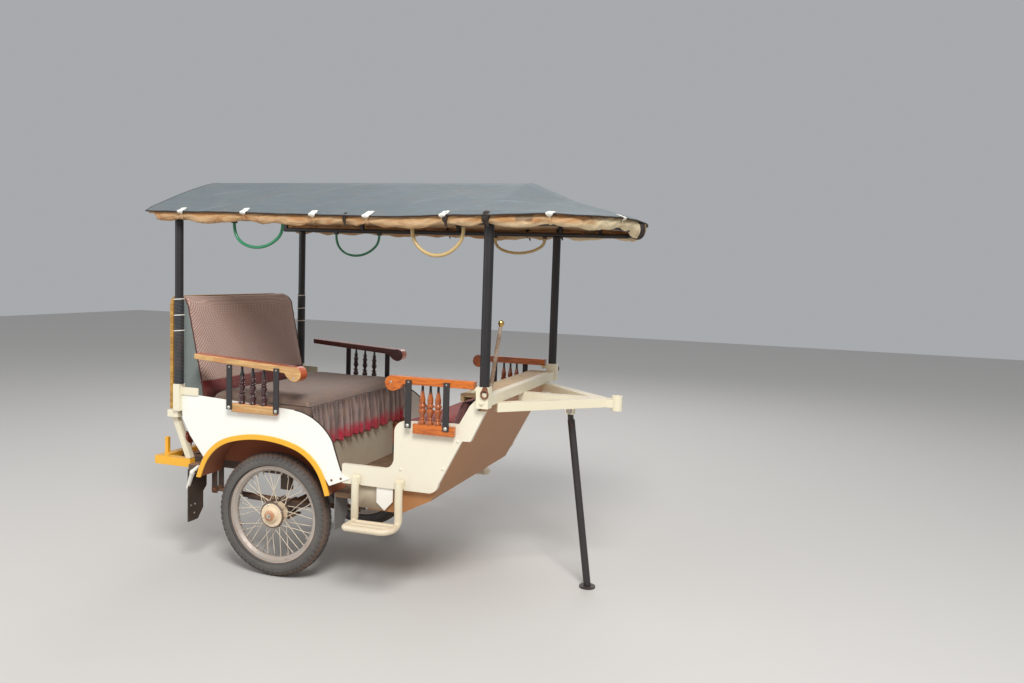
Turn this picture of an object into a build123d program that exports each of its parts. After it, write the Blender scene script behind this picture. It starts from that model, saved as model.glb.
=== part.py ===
from build123d import *
import math
import os

# A two-wheeled passenger carriage that is towed by its drawbar. It parks on a prop leg.
# Millimetres. +X is forward, +Y is the carriage's left and +Z is up. The origin is on the
# ground under the middle of the whole box. Outlines in side view give X from the wheel axle.

os.makedirs("parts", exist_ok=True)

RIGHT_LEFT = (("right", -1), ("left", 1))

# Overall places
AXLE_X = -502.5
AXLE_Z = 297
BODY_HALF = 525
SHEET = 4
FENDER_SHEET = 6
PANEL_WALL = 22
PLY = 15
WHEEL_INSET = 84
WELL_WIDTH = 160
WELL_INNER = BODY_HALF - WELL_WIDTH

# Wheels: a 17 inch wire wheel with a narrow tyre
WHEEL_Y = BODY_HALF - WHEEL_INSET
TYRE_RADIUS = 297
TYRE_HALF = 40
TYRE_BELLY = 262
TYRE_SHOULDER = 284
TYRE_CROWN_HALF = 14
RIM_RADIUS = 230.5
RIM_HALF = 22
RIM_LIP = 2
RIM_CHANNEL = 8.5
RIM_WELL = 206
BEAD_GAP = 0.5
HUB_RADIUS = 24
HUB_INNER = 36
HUB_DISC_RADIUS = 63
HUB_DISC = 11
HUB_CAP = ((0, 37), (13, 31), (21, 17), (24, 4))
FLANGE_RADIUS = 48
FLANGE_GAUGE = 20
SPOKES = 36
SPOKE_RADIUS = 1.6
SPOKE_LEAN = 42
SPOKE_PASS = 6
SPOKE_SEAT = 5
STUB_RADIUS = 12
BEARING_GAP = 0.05
TURNED_SIDES = 12

# Axle and springs
AXLE_BAR = 40
HUB_CLEAR = 9
AXLE_HALF = WHEEL_Y - HUB_INNER - HUB_CLEAR
SPRING_WIDTH = 45
LEAF = 6
LEAF_CAMBER = 12
LEAF_HALVES = (395, 300, 205, 115)
EYE_RADIUS = 14
HANGER = 16
HANGER_WALL = 4
U_BOLT = 5
U_BOLT_SPREAD = 30
BUMP_STOP = (26, 15, 392)

# Chassis tubes
RAIL = 40
RAIL_Y = WELL_INNER - RAIL / 2
SPRING_Y = RAIL_Y
RAIL_TOP = 505
RAIL_REAR = -595
RAIL_FRONT = 205
OUTRIGGER_X = -410
BELLY_Z = 398
LOW_RAIL = 30
FLOOR_PLY = 18
FLOOR_FRONT = 652

# Three-centred wheel arch, from its crown down each side: radius, end angle from the crown
ARCH_X = -20
ARCH_CROWN = 686
ARCH_ARCS = ((600, 17), (250, 65), (500, 75))
ARCH_FOOT = ((1, 418), (-1, 452))
ARCH_TRIM = 24
ARCH_PROUD = 8

# Rear seat
SEAT_FRONT = 205
SEAT_REAR = -420
SEAT_BOARD_TOP = 704
CUSHION_TOP = 790
CUSHION_HALF = BODY_HALF - 43
SKIRT = (635, 755)
SKIRT_DEPTH = 22
BACK_HALF = BODY_HALF - 80
BACK_TOP = 1300
BACK_CORNER = 45
BACK_BOARD = (-600, -582)
REAR_RAIL = (-540, -480, 728, 762)

# Posts and roof
POST_REAR_X = -480
POST_FRONT_X = 1060
POST_REAR_RADIUS = 19
POST_FRONT_RADIUS = 21
POST_FRONT_FOOT = 940
SOCKET = 34
SOCKET_TOP_REAR = 890
SLEEVE_RADIUS = 23
SLEEVE_TOP = 1300
EAVE_RAIL_Z = 1672
EAVE_RAIL_RADIUS = 12.5
ROOF_REAR = -610
ROOF_BREAK = 1090
ROOF_FRONT = 1640
ROOF_CORNER = 1475
EAVE_OVERHANG = 70
ROOF_HALF = BODY_HALF + EAVE_OVERHANG
EAVE_Z = 1700
ROOF_SHEET = 10
CROWN_RADIUS = 600
CROWN_ANGLE = 17
SLOPE_ANGLE = 24
BOW_RADIUS = 9
NOSE_TUBE = 20
NOSE_STRUT = 14
CURTAIN_RADIUS = 20
CURTAIN_INSET = 23
CURTAIN_Y = ROOF_HALF - CURTAIN_INSET
CLOTH_GAP = 0.3

# Front end
HULL_HALF = BODY_HALF - PANEL_WALL
APRON_FOOT = (820, 469)
APRON_TOP_Z = 905
APRON_SLOPE = 1.925
FRONT_RAIL = (1042, 1078, 905, 950)
COLLAR_HALF = 27
COLLAR_FIT = 0.2
COLLAR = (900, 990)
BENCH_TOP = 718
BENCH_DEPTH = 273
SHELF_REAR = 945
SHELF_PLY = 14
SHELF_LIP = 20
DRAWBAR = 40
DRAWBAR_Z = 885
DRAWBAR_REAR = FRONT_RAIL[0] + 8
BRACE_Y = HULL_HALF - 133
BRACE_SPREAD = 30
BRACE_REACH = (-130, -48)
HITCH_X = 1520
HITCH_BORE = 16
HITCH_WALL = 9
HITCH_LENGTH = 70

# Prop leg, raked forward so that the load holds it against its stop
PROP_X = 1300
PROP_Z = 835
PROP_RAKE = 8
PROP_RADIUS = 17
PROP_PAD = 8
PROP_PAD_RADIUS = 38
PIN_RADIUS = 7


def at(x, y, z):
    """A point whose X is given from the axle."""
    return (AXLE_X + x, y, z)


def side(y):
    """Side-view plane: its X runs forward from the axle, its Y runs up, its normal is -Y."""
    return Plane(origin=(AXLE_X, y, 0), x_dir=(1, 0, 0), z_dir=(0, -1, 0))


def front(x):
    """Front-view plane: its X is the row's Y and its Y runs up."""
    return Plane(origin=(AXLE_X + x, 0, 0), x_dir=(0, 1, 0), z_dir=(1, 0, 0))


def block(x0, x1, y0, y1, z0, z1):
    """A box between two corners, added to the part being built."""
    with Locations(at((x0 + x1) / 2, (y0 + y1) / 2, (z0 + z1) / 2)):
        Box(abs(x1 - x0), abs(y1 - y0), abs(z1 - z0))


def tube_between(start, end):
    """A plane at one end of a bar, square to it, and the bar's length."""
    way = Vector(*end) - Vector(*start)
    return Plane(origin=start, z_dir=way), way.length


def turned(base, tall, levels):
    """Adds an upright turned form; each level is a share of its height and the radius there."""
    rings = []
    for share, radius in levels:
        with BuildSketch(Plane.XY.offset(base[2] + share * tall)) as ring:
            with Locations((base[0], base[1])):
                RegularPolygon(radius, TURNED_SIDES)
        rings.append(ring.sketch)
    loft(rings, ruled=True)


def arch_line(inset, hand, foot):
    """Points of half the wheel arch, inset towards the wheel: corner, arc middle, corner..."""
    points = [(ARCH_X, ARCH_CROWN - inset)]
    angle = 0.0
    x, z = 0.0, ARCH_CROWN - inset
    for radius, end in ARCH_ARCS:
        r = radius - inset
        a = math.radians(angle)
        b = math.radians(end)
        low = z - r * (math.cos(a) - math.cos(b))
        if low < foot:
            b = math.acos(math.cos(a) - (z - foot) / r)
        m = (a + b) / 2
        points.append((ARCH_X + hand * (x + r * (math.sin(m) - math.sin(a))),
                       z - r * (math.cos(a) - math.cos(m))))
        points.append((ARCH_X + hand * (x + r * (math.sin(b) - math.sin(a))),
                       z - r * (math.cos(a) - math.cos(b))))
        x = x + r * (math.sin(b) - math.sin(a))
        z = z - r * (math.cos(a) - math.cos(b))
        angle = end
    return points


def arch_curve(inset):
    """Draws the whole arch from the front foot over the crown to the rear foot."""
    ends = []
    for hand, foot in ARCH_FOOT:
        points = arch_line(inset, hand, foot)
        for start, middle, end in zip(points[0::2], points[1::2], points[2::2]):
            ThreePointArc(start, middle, end)
        ends.append(points[-1])
    return ends


def roof_rise(y):
    """Height of the canopy's outer face above its eave, at a distance from the middle."""
    crown = math.radians(CROWN_ANGLE)
    slope = math.radians(SLOPE_ANGLE)
    side_drop = SLOPE_RADIUS * (math.cos(crown) - math.cos(slope))
    y = abs(y)
    if y <= ROOF_KNEE:
        return side_drop + CROWN_RADIUS * (math.sqrt(1 - (y / CROWN_RADIUS) ** 2) - math.cos(crown))
    a = math.asin(math.sin(crown) + (y - ROOF_KNEE) / SLOPE_RADIUS)
    return SLOPE_RADIUS * (math.cos(a) - math.cos(slope))


def visor_scale(x):
    """Share of its full rise that the canopy keeps at a place along it."""
    for (x0, s0), (x1, s1) in zip(VISOR[:-1], VISOR[1:]):
        if x <= x1:
            return s0 + (s1 - s0) * (x - x0) / (x1 - x0)
    return VISOR[-1][1]


def nose_x(y, inset):
    """Where a line that follows the canopy's bowed front edge lies, inset from that edge."""
    return ROOF_FRONT - NOSE_RADIUS + math.sqrt((NOSE_RADIUS - inset) ** 2 - y ** 2)


def nose_arc(inset, half, z):
    """Draws the bowed line that follows the front edge, from the right to the left."""
    return ThreePointArc(at(nose_x(half, inset), -half, z), at(nose_x(0, inset), 0, z),
                         at(nose_x(half, inset), half, z))


ROOF_KNEE = CROWN_RADIUS * math.sin(math.radians(CROWN_ANGLE))
SLOPE_RADIUS = (ROOF_HALF - ROOF_KNEE) / (math.sin(math.radians(SLOPE_ANGLE))
                                          - math.sin(math.radians(CROWN_ANGLE)))
NOSE_RADIUS = (ROOF_HALF ** 2 + (ROOF_FRONT - ROOF_CORNER) ** 2) / (2 * (ROOF_FRONT - ROOF_CORNER))
VISOR = ((ROOF_REAR, 1.0), (ROOF_BREAK, 1.0), (1290, 0.56), (ROOF_FRONT, 0.03))


def roof_arcs(half, base, scale):
    """Draws the canopy's line from the right eave over the ridge to the left."""
    stops = (-half, -(half + ROOF_KNEE) / 2, -ROOF_KNEE, 0, ROOF_KNEE, (half + ROOF_KNEE) / 2, half)
    points = [(y, base + scale * roof_rise(y)) for y in stops]
    for i in (0, 2, 4):
        ThreePointArc(points[i], points[i + 1], points[i + 2])
    return points[0], points[-1]


# Wire wheels, with crossed spokes from the two hub flanges to the rim's well
FLOOR_HALF = RIM_HALF - 6.5
BEAD = FLOOR_HALF - 1
BEAD_RADIUS = RIM_RADIUS - RIM_CHANNEL + BEAD_GAP
HUB_FACE = FLANGE_GAUGE + HUB_DISC
for name, hand in RIGHT_LEFT:
    centre = (AXLE_X, hand * WHEEL_Y, AXLE_Z)
    spin = Axis(centre, (0, 1, 0))
    radial = Plane(origin=centre, x_dir=(0, hand, 0), z_dir=(hand, 0, 0))

    with BuildPart() as tyre:
        with BuildSketch(radial):
            with BuildLine():
                Polyline((-BEAD, BEAD_RADIUS), (-TYRE_HALF, TYRE_BELLY), (-TYRE_HALF + 9, TYRE_SHOULDER),
                         (-TYRE_CROWN_HALF, TYRE_RADIUS), (TYRE_CROWN_HALF, TYRE_RADIUS),
                         (TYRE_HALF - 9, TYRE_SHOULDER), (TYRE_HALF, TYRE_BELLY), (BEAD, BEAD_RADIUS),
                         close=True)
            make_face()
        revolve(axis=spin)
    tyre.part.label = f"tyre_{name}"
    export_step(tyre.part, f"parts/tyre_{name}.step")

    with BuildPart() as wheel:
        with BuildSketch(radial):
            with BuildLine():
                Polyline((-RIM_HALF, RIM_RADIUS), (-RIM_HALF + RIM_LIP, RIM_RADIUS),
                         (-FLOOR_HALF, RIM_RADIUS - RIM_CHANNEL), (FLOOR_HALF, RIM_RADIUS - RIM_CHANNEL),
                         (RIM_HALF - RIM_LIP, RIM_RADIUS), (RIM_HALF, RIM_RADIUS),
                         (RIM_HALF, RIM_RADIUS - 14), (8, RIM_WELL), (-8, RIM_WELL),
                         (-RIM_HALF, RIM_RADIUS - 14), close=True)
            make_face()
        revolve(axis=spin)
        with BuildSketch(radial):
            with BuildLine():
                Polyline((-HUB_INNER, STUB_RADIUS + BEARING_GAP), (-HUB_INNER, HUB_RADIUS),
                         (-FLANGE_GAUGE - 5, HUB_RADIUS), (-FLANGE_GAUGE - 5, FLANGE_RADIUS + 5),
                         (-FLANGE_GAUGE + 5, FLANGE_RADIUS + 5), (-FLANGE_GAUGE + 5, HUB_RADIUS),
                         (FLANGE_GAUGE - 5, HUB_RADIUS), (FLANGE_GAUGE - 5, FLANGE_RADIUS + 5),
                         (FLANGE_GAUGE + 6, FLANGE_RADIUS + 5), (FLANGE_GAUGE + 6, HUB_DISC_RADIUS),
                         (HUB_FACE, HUB_DISC_RADIUS - 4),
                         *((HUB_FACE + out, radius) for out, radius in HUB_CAP),
                         (HUB_FACE + HUB_CAP[-1][0], 0), (HUB_FACE + 4, 0),
                         (HUB_FACE + 4, STUB_RADIUS + BEARING_GAP), close=True)
            make_face()
        revolve(axis=spin)
        for i in range(SPOKES):
            turn = 360 / SPOKES * i
            wall = 1 if i % 2 else -1
            lean = SPOKE_LEAN if i % 4 < 2 else -SPOKE_LEAN
            head = wall * (FLANGE_GAUGE + (SPOKE_PASS / 2 if lean > 0 else -SPOKE_PASS / 2))
            seat = wall * (SPOKE_SEAT if lean > 0 else 0.5)
            a = math.radians(turn + lean)
            b = math.radians(turn)
            inner = (centre[0] + FLANGE_RADIUS * math.cos(a), centre[1] + head,
                     centre[2] + FLANGE_RADIUS * math.sin(a))
            outer = (centre[0] + (RIM_WELL + 4) * math.cos(b), centre[1] + seat,
                     centre[2] + (RIM_WELL + 4) * math.sin(b))
            plane, length = tube_between(inner, outer)
            with BuildSketch(plane):
                RegularPolygon(SPOKE_RADIUS, 6)
            extrude(amount=length)
    wheel.part.label = f"wheel_{name}"
    export_step(wheel.part, f"parts/wheel_{name}.step")

# Axle beam with its stubs, spring plates and U-bolts
with BuildPart() as axle:
    block(-AXLE_BAR / 2, AXLE_BAR / 2, -AXLE_HALF, AXLE_HALF, AXLE_Z - AXLE_BAR / 2, AXLE_Z + AXLE_BAR / 2)
    for name, hand in RIGHT_LEFT:
        with BuildSketch(Plane(origin=(AXLE_X, hand * AXLE_HALF, AXLE_Z), z_dir=(0, hand, 0))):
            Circle(STUB_RADIUS)
        extrude(amount=WHEEL_Y + HUB_FACE - 2 - AXLE_HALF)
        plate_z = AXLE_Z - AXLE_BAR / 2
        block(-55, 55, hand * SPRING_Y - 40, hand * SPRING_Y + 40, plate_z - 8, plate_z)
        top = AXLE_Z + AXLE_BAR / 2 + LEAF * len(LEAF_HALVES) + CLOTH_GAP
        for x in (-U_BOLT_SPREAD, U_BOLT_SPREAD):
            with BuildSketch(Plane.XY.offset(plate_z - 20)):
                with Locations((AXLE_X + x, hand * SPRING_Y - U_BOLT_SPREAD),
                               (AXLE_X + x, hand * SPRING_Y + U_BOLT_SPREAD)):
                    RegularPolygon(U_BOLT, 6)
            extrude(amount=top + 4 - plate_z + 20)
            reach = U_BOLT_SPREAD + U_BOLT
            block(x - U_BOLT, x + U_BOLT, hand * SPRING_Y - reach, hand * SPRING_Y + reach, top, top + 8)
axle.part.label = "axle"
export_step(axle.part, "parts/axle.step")

# Leaf springs, one pack over each end of the axle, with eyes on the main leaf
SPRING_BASE = AXLE_Z + AXLE_BAR / 2
MAIN_LEAF = SPRING_BASE + LEAF * (len(LEAF_HALVES) - 1)
EYE_Z = MAIN_LEAF + LEAF_CAMBER + LEAF / 2
with BuildPart() as leaf_springs:
    for name, hand in RIGHT_LEFT:
        y = hand * SPRING_Y
        for i, half in enumerate(LEAF_HALVES):
            low = MAIN_LEAF - LEAF * i
            rise = LEAF_CAMBER * (half / LEAF_HALVES[0]) ** 2
            with BuildSketch(side(y + SPRING_WIDTH / 2)):
                with BuildLine():
                    ThreePointArc((-half, low + rise), (0, low), (half, low + rise))
                    Line((half, low + rise), (half, low + rise + LEAF))
                    ThreePointArc((half, low + rise + LEAF), (0, low + LEAF), (-half, low + rise + LEAF))
                    Line((-half, low + rise + LEAF), (-half, low + rise))
                make_face()
            extrude(amount=SPRING_WIDTH)
        for x in (-LEAF_HALVES[0], LEAF_HALVES[0]):
            with BuildSketch(side(y + SPRING_WIDTH / 2)):
                with Locations((x, EYE_Z)):
                    Circle(EYE_RADIUS)
            extrude(amount=SPRING_WIDTH)
leaf_springs.part.label = "leaf_springs"
export_step(leaf_springs.part, "parts/leaf_springs.step")

# Welded chassis: two rails and four cross tubes, one of them an outrigger for the fenders
LOW_TOP = BELLY_Z + SHEET + LOW_RAIL
LOW_FRONT = 680
HANGER_HALF = SPRING_WIDTH / 2 + CLOTH_GAP + HANGER_WALL
with BuildPart() as chassis:
    for name, hand in RIGHT_LEFT:
        block(RAIL_REAR, RAIL_FRONT, hand * RAIL_Y - RAIL / 2, hand * RAIL_Y + RAIL / 2,
              RAIL_TOP - RAIL, RAIL_TOP)
    for x, half in ((RAIL_REAR + RAIL / 2, RAIL_Y), (OUTRIGGER_X, BODY_HALF - FENDER_SHEET),
                    (-180, RAIL_Y), (RAIL_FRONT - RAIL / 2, RAIL_Y)):
        block(x - RAIL / 2, x + RAIL / 2, -half, half, RAIL_TOP - RAIL, RAIL_TOP)
chassis.part.label = "chassis_frame"
export_step(chassis.part, "parts/chassis_frame.step")

# Low frame under the footwell, dropped from the rails
with BuildPart() as floor_frame:
    for name, hand in RIGHT_LEFT:
        y0 = hand * RAIL_Y - RAIL / 2
        y1 = hand * RAIL_Y + RAIL / 2
        block(RAIL_FRONT - RAIL, RAIL_FRONT, y0, y1, LOW_TOP - LOW_RAIL, RAIL_TOP - RAIL)
        block(RAIL_FRONT - RAIL, LOW_FRONT, y0, y1, LOW_TOP - LOW_RAIL, LOW_TOP)
    for x in (LOW_FRONT - 260, LOW_FRONT - 40):
        block(x - RAIL / 2, x + RAIL / 2, -RAIL_Y, RAIL_Y, LOW_TOP - LOW_RAIL, LOW_TOP)
floor_frame.part.label = "floor_frame"
export_step(floor_frame.part, "parts/floor_frame.step")

# Spring hangers, forked round the spring eyes, and the bump stops over the axle
with BuildPart() as hangers:
    for name, hand in RIGHT_LEFT:
        y2 = hand * SPRING_Y - HANGER_HALF
        y3 = hand * SPRING_Y + HANGER_HALF
        for eye, seat in ((-LEAF_HALVES[0], RAIL_TOP - RAIL), (LEAF_HALVES[0], LOW_TOP - LOW_RAIL)):
            block(eye - HANGER, eye + HANGER, y2, y3, seat - HANGER_WALL, seat)
            block(eye - HANGER, eye + HANGER, y2, y2 + HANGER_WALL, EYE_Z - HANGER, seat)
            block(eye - HANGER, eye + HANGER, y3 - HANGER_WALL, y3, EYE_Z - HANGER, seat)
        block(-BUMP_STOP[0], BUMP_STOP[0], hand * RAIL_Y - BUMP_STOP[1], hand * RAIL_Y + BUMP_STOP[1],
              BUMP_STOP[2], RAIL_TOP - RAIL)
hangers.part.label = "spring_hangers"
export_step(hangers.part, "parts/spring_hangers.step")

# Rear bumper and tail frame
BUMPER = 40
BUMPER_TOP = 527
BUMPER_Y = BODY_HALF - 35
UPRIGHT = 18
BUMPER_REAR = -635
with BuildPart() as bumper:
    for name, hand in RIGHT_LEFT:
        y0 = hand * BUMPER_Y - BUMPER / 2
        block(BUMPER_REAR, OUTRIGGER_X - RAIL / 2, y0, y0 + BUMPER, BUMPER_TOP - BUMPER, BUMPER_TOP)
        upright_y = hand * (BUMPER_Y - 60)
        block(BUMPER_REAR, BUMPER_REAR + UPRIGHT, upright_y - UPRIGHT / 2, upright_y + UPRIGHT / 2,
              BUMPER_TOP, 605)
    block(BUMPER_REAR, BUMPER_REAR + BUMPER, -BUMPER_Y, BUMPER_Y, BUMPER_TOP - BUMPER, BUMPER_TOP)
bumper.part.label = "rear_bumper"
export_step(bumper.part, "parts/rear_bumper.step")

# Tail frame: cross rail, post sockets with their corner straps, and the diagonal braces
with BuildPart() as tail:
    block(REAR_RAIL[0], REAR_RAIL[1], -BODY_HALF - 10, BODY_HALF + 10, REAR_RAIL[2], REAR_RAIL[3])
    for name, hand in RIGHT_LEFT:
        y = hand * BODY_HALF
        with Locations(at(POST_REAR_X, y, (REAR_RAIL[3] + SOCKET_TOP_REAR) / 2)):
            Box(SOCKET, SOCKET + 10, SOCKET_TOP_REAR - REAR_RAIL[3])
        block(POST_REAR_X + SOCKET / 2, -368, y, y + hand * 6, 839, 876)
        brace, length = tube_between(at(-443, hand * BUMPER_Y, BUMPER_TOP),
                                      at(-522, hand * (BODY_HALF - 25), 740))
        with BuildSketch(brace):
            Rectangle(28, 28)
        extrude(amount=length)
        y = hand * (BACK_HALF - 145)
        block(BACK_BOARD[1], REAR_RAIL[0], y - 20, y + 20, REAR_RAIL[3] - 12, REAR_RAIL[3])
    split(bisect_by=Plane(origin=(0, 0, BUMPER_TOP), z_dir=(0, 0, 1)), keep=Keep.TOP)
tail.part.label = "tail_frame"
export_step(tail.part, "parts/tail_frame.step")

# Fenders: one sheet each side with the wheel arch cut out
for name, hand in RIGHT_LEFT:
    with BuildPart() as fender:
        with BuildSketch(side(hand * BODY_HALF)):
            with BuildLine():
                Polyline((345, 690), (392, 560), (396, 547), (300, 510), (300, 300),
                         (-330, 300), (-330, 536), (-417, 646), (-460, 726),
                         (POST_REAR_X + SOCKET / 2, 752), (POST_REAR_X + SOCKET / 2, 846), (150, 814))
                ThreePointArc((150, 814), (271, 769), (345, 690))
            make_face()
            with BuildSketch(mode=Mode.SUBTRACT):
                with BuildLine():
                    ends = arch_curve(ARCH_TRIM / 2)
                    Polyline(ends[0], (ends[0][0], 200), (ends[1][0], 200), ends[1])
                make_face()
        extrude(amount=hand * FENDER_SHEET)
    fender.part.label = f"fender_{name}"
    export_step(fender.part, f"parts/fender_{name}.step")

# Raised trim round both wheel arches
with BuildPart() as arch_trims:
    for name, hand in RIGHT_LEFT:
        with BuildSketch(side(hand * (BODY_HALF + ARCH_PROUD))):
            with BuildLine():
                outer = arch_curve(0)
                inner = arch_curve(ARCH_TRIM)
                Line(outer[0], inner[0])
                Line(outer[1], inner[1])
            make_face()
        extrude(amount=hand * ARCH_PROUD)
arch_trims.part.label = "arch_trims"
export_step(arch_trims.part, "parts/arch_trims.step")

# Wheel wells: a curved liner behind the arch and an inner wall
with BuildPart() as wheel_wells:
    for name, hand in RIGHT_LEFT:
        with BuildSketch(side(hand * (BODY_HALF - FENDER_SHEET))):
            with BuildLine():
                outer = arch_curve(ARCH_TRIM / 2)
                inner = arch_curve(ARCH_TRIM / 2 + SHEET)
                Line(outer[0], inner[0])
                Line(outer[1], inner[1])
            make_face()
        extrude(amount=hand * (BODY_HALF - FENDER_SHEET - WELL_INNER))
        with BuildSketch(side(hand * (WELL_INNER + SHEET))):
            with BuildLine():
                outer = arch_curve(ARCH_TRIM / 2)
                Line(outer[0], outer[1])
            make_face()
            with Locations((0, RAIL_TOP - 200)):
                Rectangle(1000, 400, mode=Mode.SUBTRACT)
        extrude(amount=hand * SHEET)
wheel_wells.part.label = "wheel_wells"
export_step(wheel_wells.part, "parts/wheel_wells.step")

# Front side panels, with the sill of the doorway, the rising ear and the rounded chin
for name, hand in RIGHT_LEFT:
    with BuildPart() as panel:
        with BuildSketch(side(hand * BODY_HALF)):
            with BuildLine():
                Polyline((398, 508), (398, 595), (600, 595))
                RadiusArc((600, 595), (650, 645), -50)
                Line((650, 645), (650, 765))
                RadiusArc((650, 765), (702, 812), 50)
                Polyline((702, 812), (950, 820), (997, 904), (1065, 974), (1078, 974), (1078, 906),
                         (1004, 751), (965, 749), (862, 550))
                ThreePointArc((862, 550), (846, 519), (815, 508))
                Line((815, 508), (398, 508))
            make_face()
        extrude(amount=hand * PANEL_WALL)
        with Locations(at(POST_FRONT_X, hand * BODY_HALF, sum(COLLAR) / 2)):
            notch = 2 * (COLLAR_HALF + COLLAR_FIT)
            Box(notch, notch, COLLAR[1] - COLLAR[0] + 30, mode=Mode.SUBTRACT)
    panel.part.label = f"front_panel_{name}"
    export_step(panel.part, f"parts/front_panel_{name}.step")

# Straps from the arch to the sill, and the pentagon tabs that hang under the sill
with BuildPart() as sill_tabs:
    for name, hand in RIGHT_LEFT:
        with BuildSketch(side(hand * (BODY_HALF + 5))):
            with BuildLine():
                Polyline((316, 518), (396, 547), (437, 530), (337, 488), close=True)
            make_face()
        extrude(amount=hand * 5)
        with BuildSketch(side(hand * (BODY_HALF - 8))):
            with BuildLine():
                Polyline((566, 508), (646, 508), (646, 448), (606, 404), (566, 437), close=True)
            make_face()
        extrude(amount=hand * SHEET)
sill_tabs.part.label = "sill_tabs"
export_step(sill_tabs.part, "parts/sill_tabs.step")

# Belly and apron: one bent sheet with side plates, open at the back under the floor
APRON_TOP_X = APRON_FOOT[0] + (APRON_TOP_Z - APRON_FOOT[1]) / APRON_SLOPE
with BuildPart() as hull:
    with BuildSketch(side(HULL_HALF)):
        with BuildLine() as sheet_line:
            Polyline((520, BELLY_Z + SHEET / 2), (682, BELLY_Z + SHEET / 2),
                     (APRON_FOOT[0], APRON_FOOT[1] + SHEET / 2),
                     (APRON_TOP_X + 20 / APRON_SLOPE, APRON_TOP_Z + 20))
            offset(amount=SHEET / 2, side=Side.BOTH)
        make_face()
    extrude(amount=2 * HULL_HALF)
    split(bisect_by=Plane.XY.offset(APRON_TOP_Z), keep=Keep.BOTTOM)
    for name, hand in RIGHT_LEFT:
        with BuildSketch(side(hand * HULL_HALF)):
            with BuildLine():
                Polyline((470, 540), (470, BELLY_Z + 70))
                RadiusArc((470, BELLY_Z + 70), (540, BELLY_Z), 70)
                Polyline((540, BELLY_Z), (682, BELLY_Z), (APRON_FOOT[0], APRON_FOOT[1]),
                         (APRON_FOOT[0] + (540 - APRON_FOOT[1]) / APRON_SLOPE, 540), (470, 540))
            make_face()
        extrude(amount=hand * SHEET)
hull.part.label = "belly_apron"
export_step(hull.part, "parts/belly_apron.step")

# Floor boards
FLOOR_TOP = LOW_TOP + FLOOR_PLY
with BuildPart() as floor:
    block(RAIL_FRONT, 352, -WELL_INNER, WELL_INNER, LOW_TOP, FLOOR_TOP)
    block(352, FLOOR_FRONT, -HULL_HALF + SHEET, HULL_HALF - SHEET, LOW_TOP, FLOOR_TOP)
floor.part.label = "floor_boards"
export_step(floor.part, "parts/floor_boards.step")

# Rear seat: box on the chassis and board over the wheel wells
with BuildPart() as seat_box:
    block(SEAT_REAR, SEAT_FRONT, -BODY_HALF + FENDER_SHEET, BODY_HALF - FENDER_SHEET,
          SEAT_BOARD_TOP - PLY, SEAT_BOARD_TOP)
    block(SEAT_FRONT - PLY, SEAT_FRONT, -WELL_INNER, WELL_INNER, RAIL_TOP, SEAT_BOARD_TOP)
    block(SEAT_REAR, SEAT_REAR + PLY, -WELL_INNER, WELL_INNER, RAIL_TOP, SEAT_BOARD_TOP)
    for name, hand in RIGHT_LEFT:
        block(SEAT_REAR, SEAT_FRONT, hand * WELL_INNER, hand * (WELL_INNER - PLY),
              RAIL_TOP, SEAT_BOARD_TOP)
seat_box.part.label = "seat_box"
export_step(seat_box.part, "parts/seat_box.step")

with BuildPart() as seat_front:
    block(SEAT_FRONT, SEAT_FRONT + 5, -WELL_INNER, WELL_INNER, FLOOR_TOP, SEAT_BOARD_TOP)
seat_front.part.label = "seat_kick_board"
export_step(seat_front.part, "parts/seat_kick_board.step")

with BuildPart() as rear_cushion:
    block(SEAT_REAR + 60, SEAT_FRONT + 5, -CUSHION_HALF, CUSHION_HALF,
          SEAT_BOARD_TOP + CLOTH_GAP, CUSHION_TOP)
    fillet(rear_cushion.edges().filter_by(Axis.Y).group_by(Axis.Z)[-1], 30)
rear_cushion.part.label = "rear_seat_cushion"
export_step(rear_cushion.part, "parts/rear_seat_cushion.step")

with BuildPart() as seat_skirt:
    block(SEAT_FRONT + 5 + CLOTH_GAP, SEAT_FRONT + 5 + SKIRT_DEPTH, -CUSHION_HALF, CUSHION_HALF, *SKIRT)
seat_skirt.part.label = "seat_skirt"
export_step(seat_skirt.part, "parts/seat_skirt.step")

# Seat back: a wedge of upholstery in front of an upright board, both with rounded top corners


def round_back(x, depth):
    """Keeps what lies inside the seat back's outline, over a depth from one plane."""
    with BuildSketch(front(x)) as outline:
        with Locations((0, BACK_TOP / 2)):
            Rectangle(2 * BACK_HALF, BACK_TOP)
        fillet(outline.vertices().group_by(Axis.Y)[-1], BACK_CORNER)
    extrude(outline.sketch, amount=depth, mode=Mode.INTERSECT)


with BuildPart() as back_cushion:
    with BuildSketch(side(BACK_HALF)):
        with BuildLine():
            rear = BACK_BOARD[1] + 1
            Polyline((rear, REAR_RAIL[3] + CLOTH_GAP), (-470, REAR_RAIL[3] + CLOTH_GAP), (-390, 800),
                     (-495, BACK_TOP - 40), (-520, BACK_TOP), (rear, BACK_TOP), close=True)
        make_face()
    extrude(amount=2 * BACK_HALF)
    round_back(BACK_BOARD[0], 220)
back_cushion.part.label = "back_cushion"
export_step(back_cushion.part, "parts/back_cushion.step")

with BuildPart() as back_board:
    block(*BACK_BOARD, -BACK_HALF, BACK_HALF, REAR_RAIL[3] - 12, BACK_TOP)
    round_back(BACK_BOARD[0], BACK_BOARD[1] - BACK_BOARD[0])
back_board.part.label = "back_board"
export_step(back_board.part, "parts/back_board.step")

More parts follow.
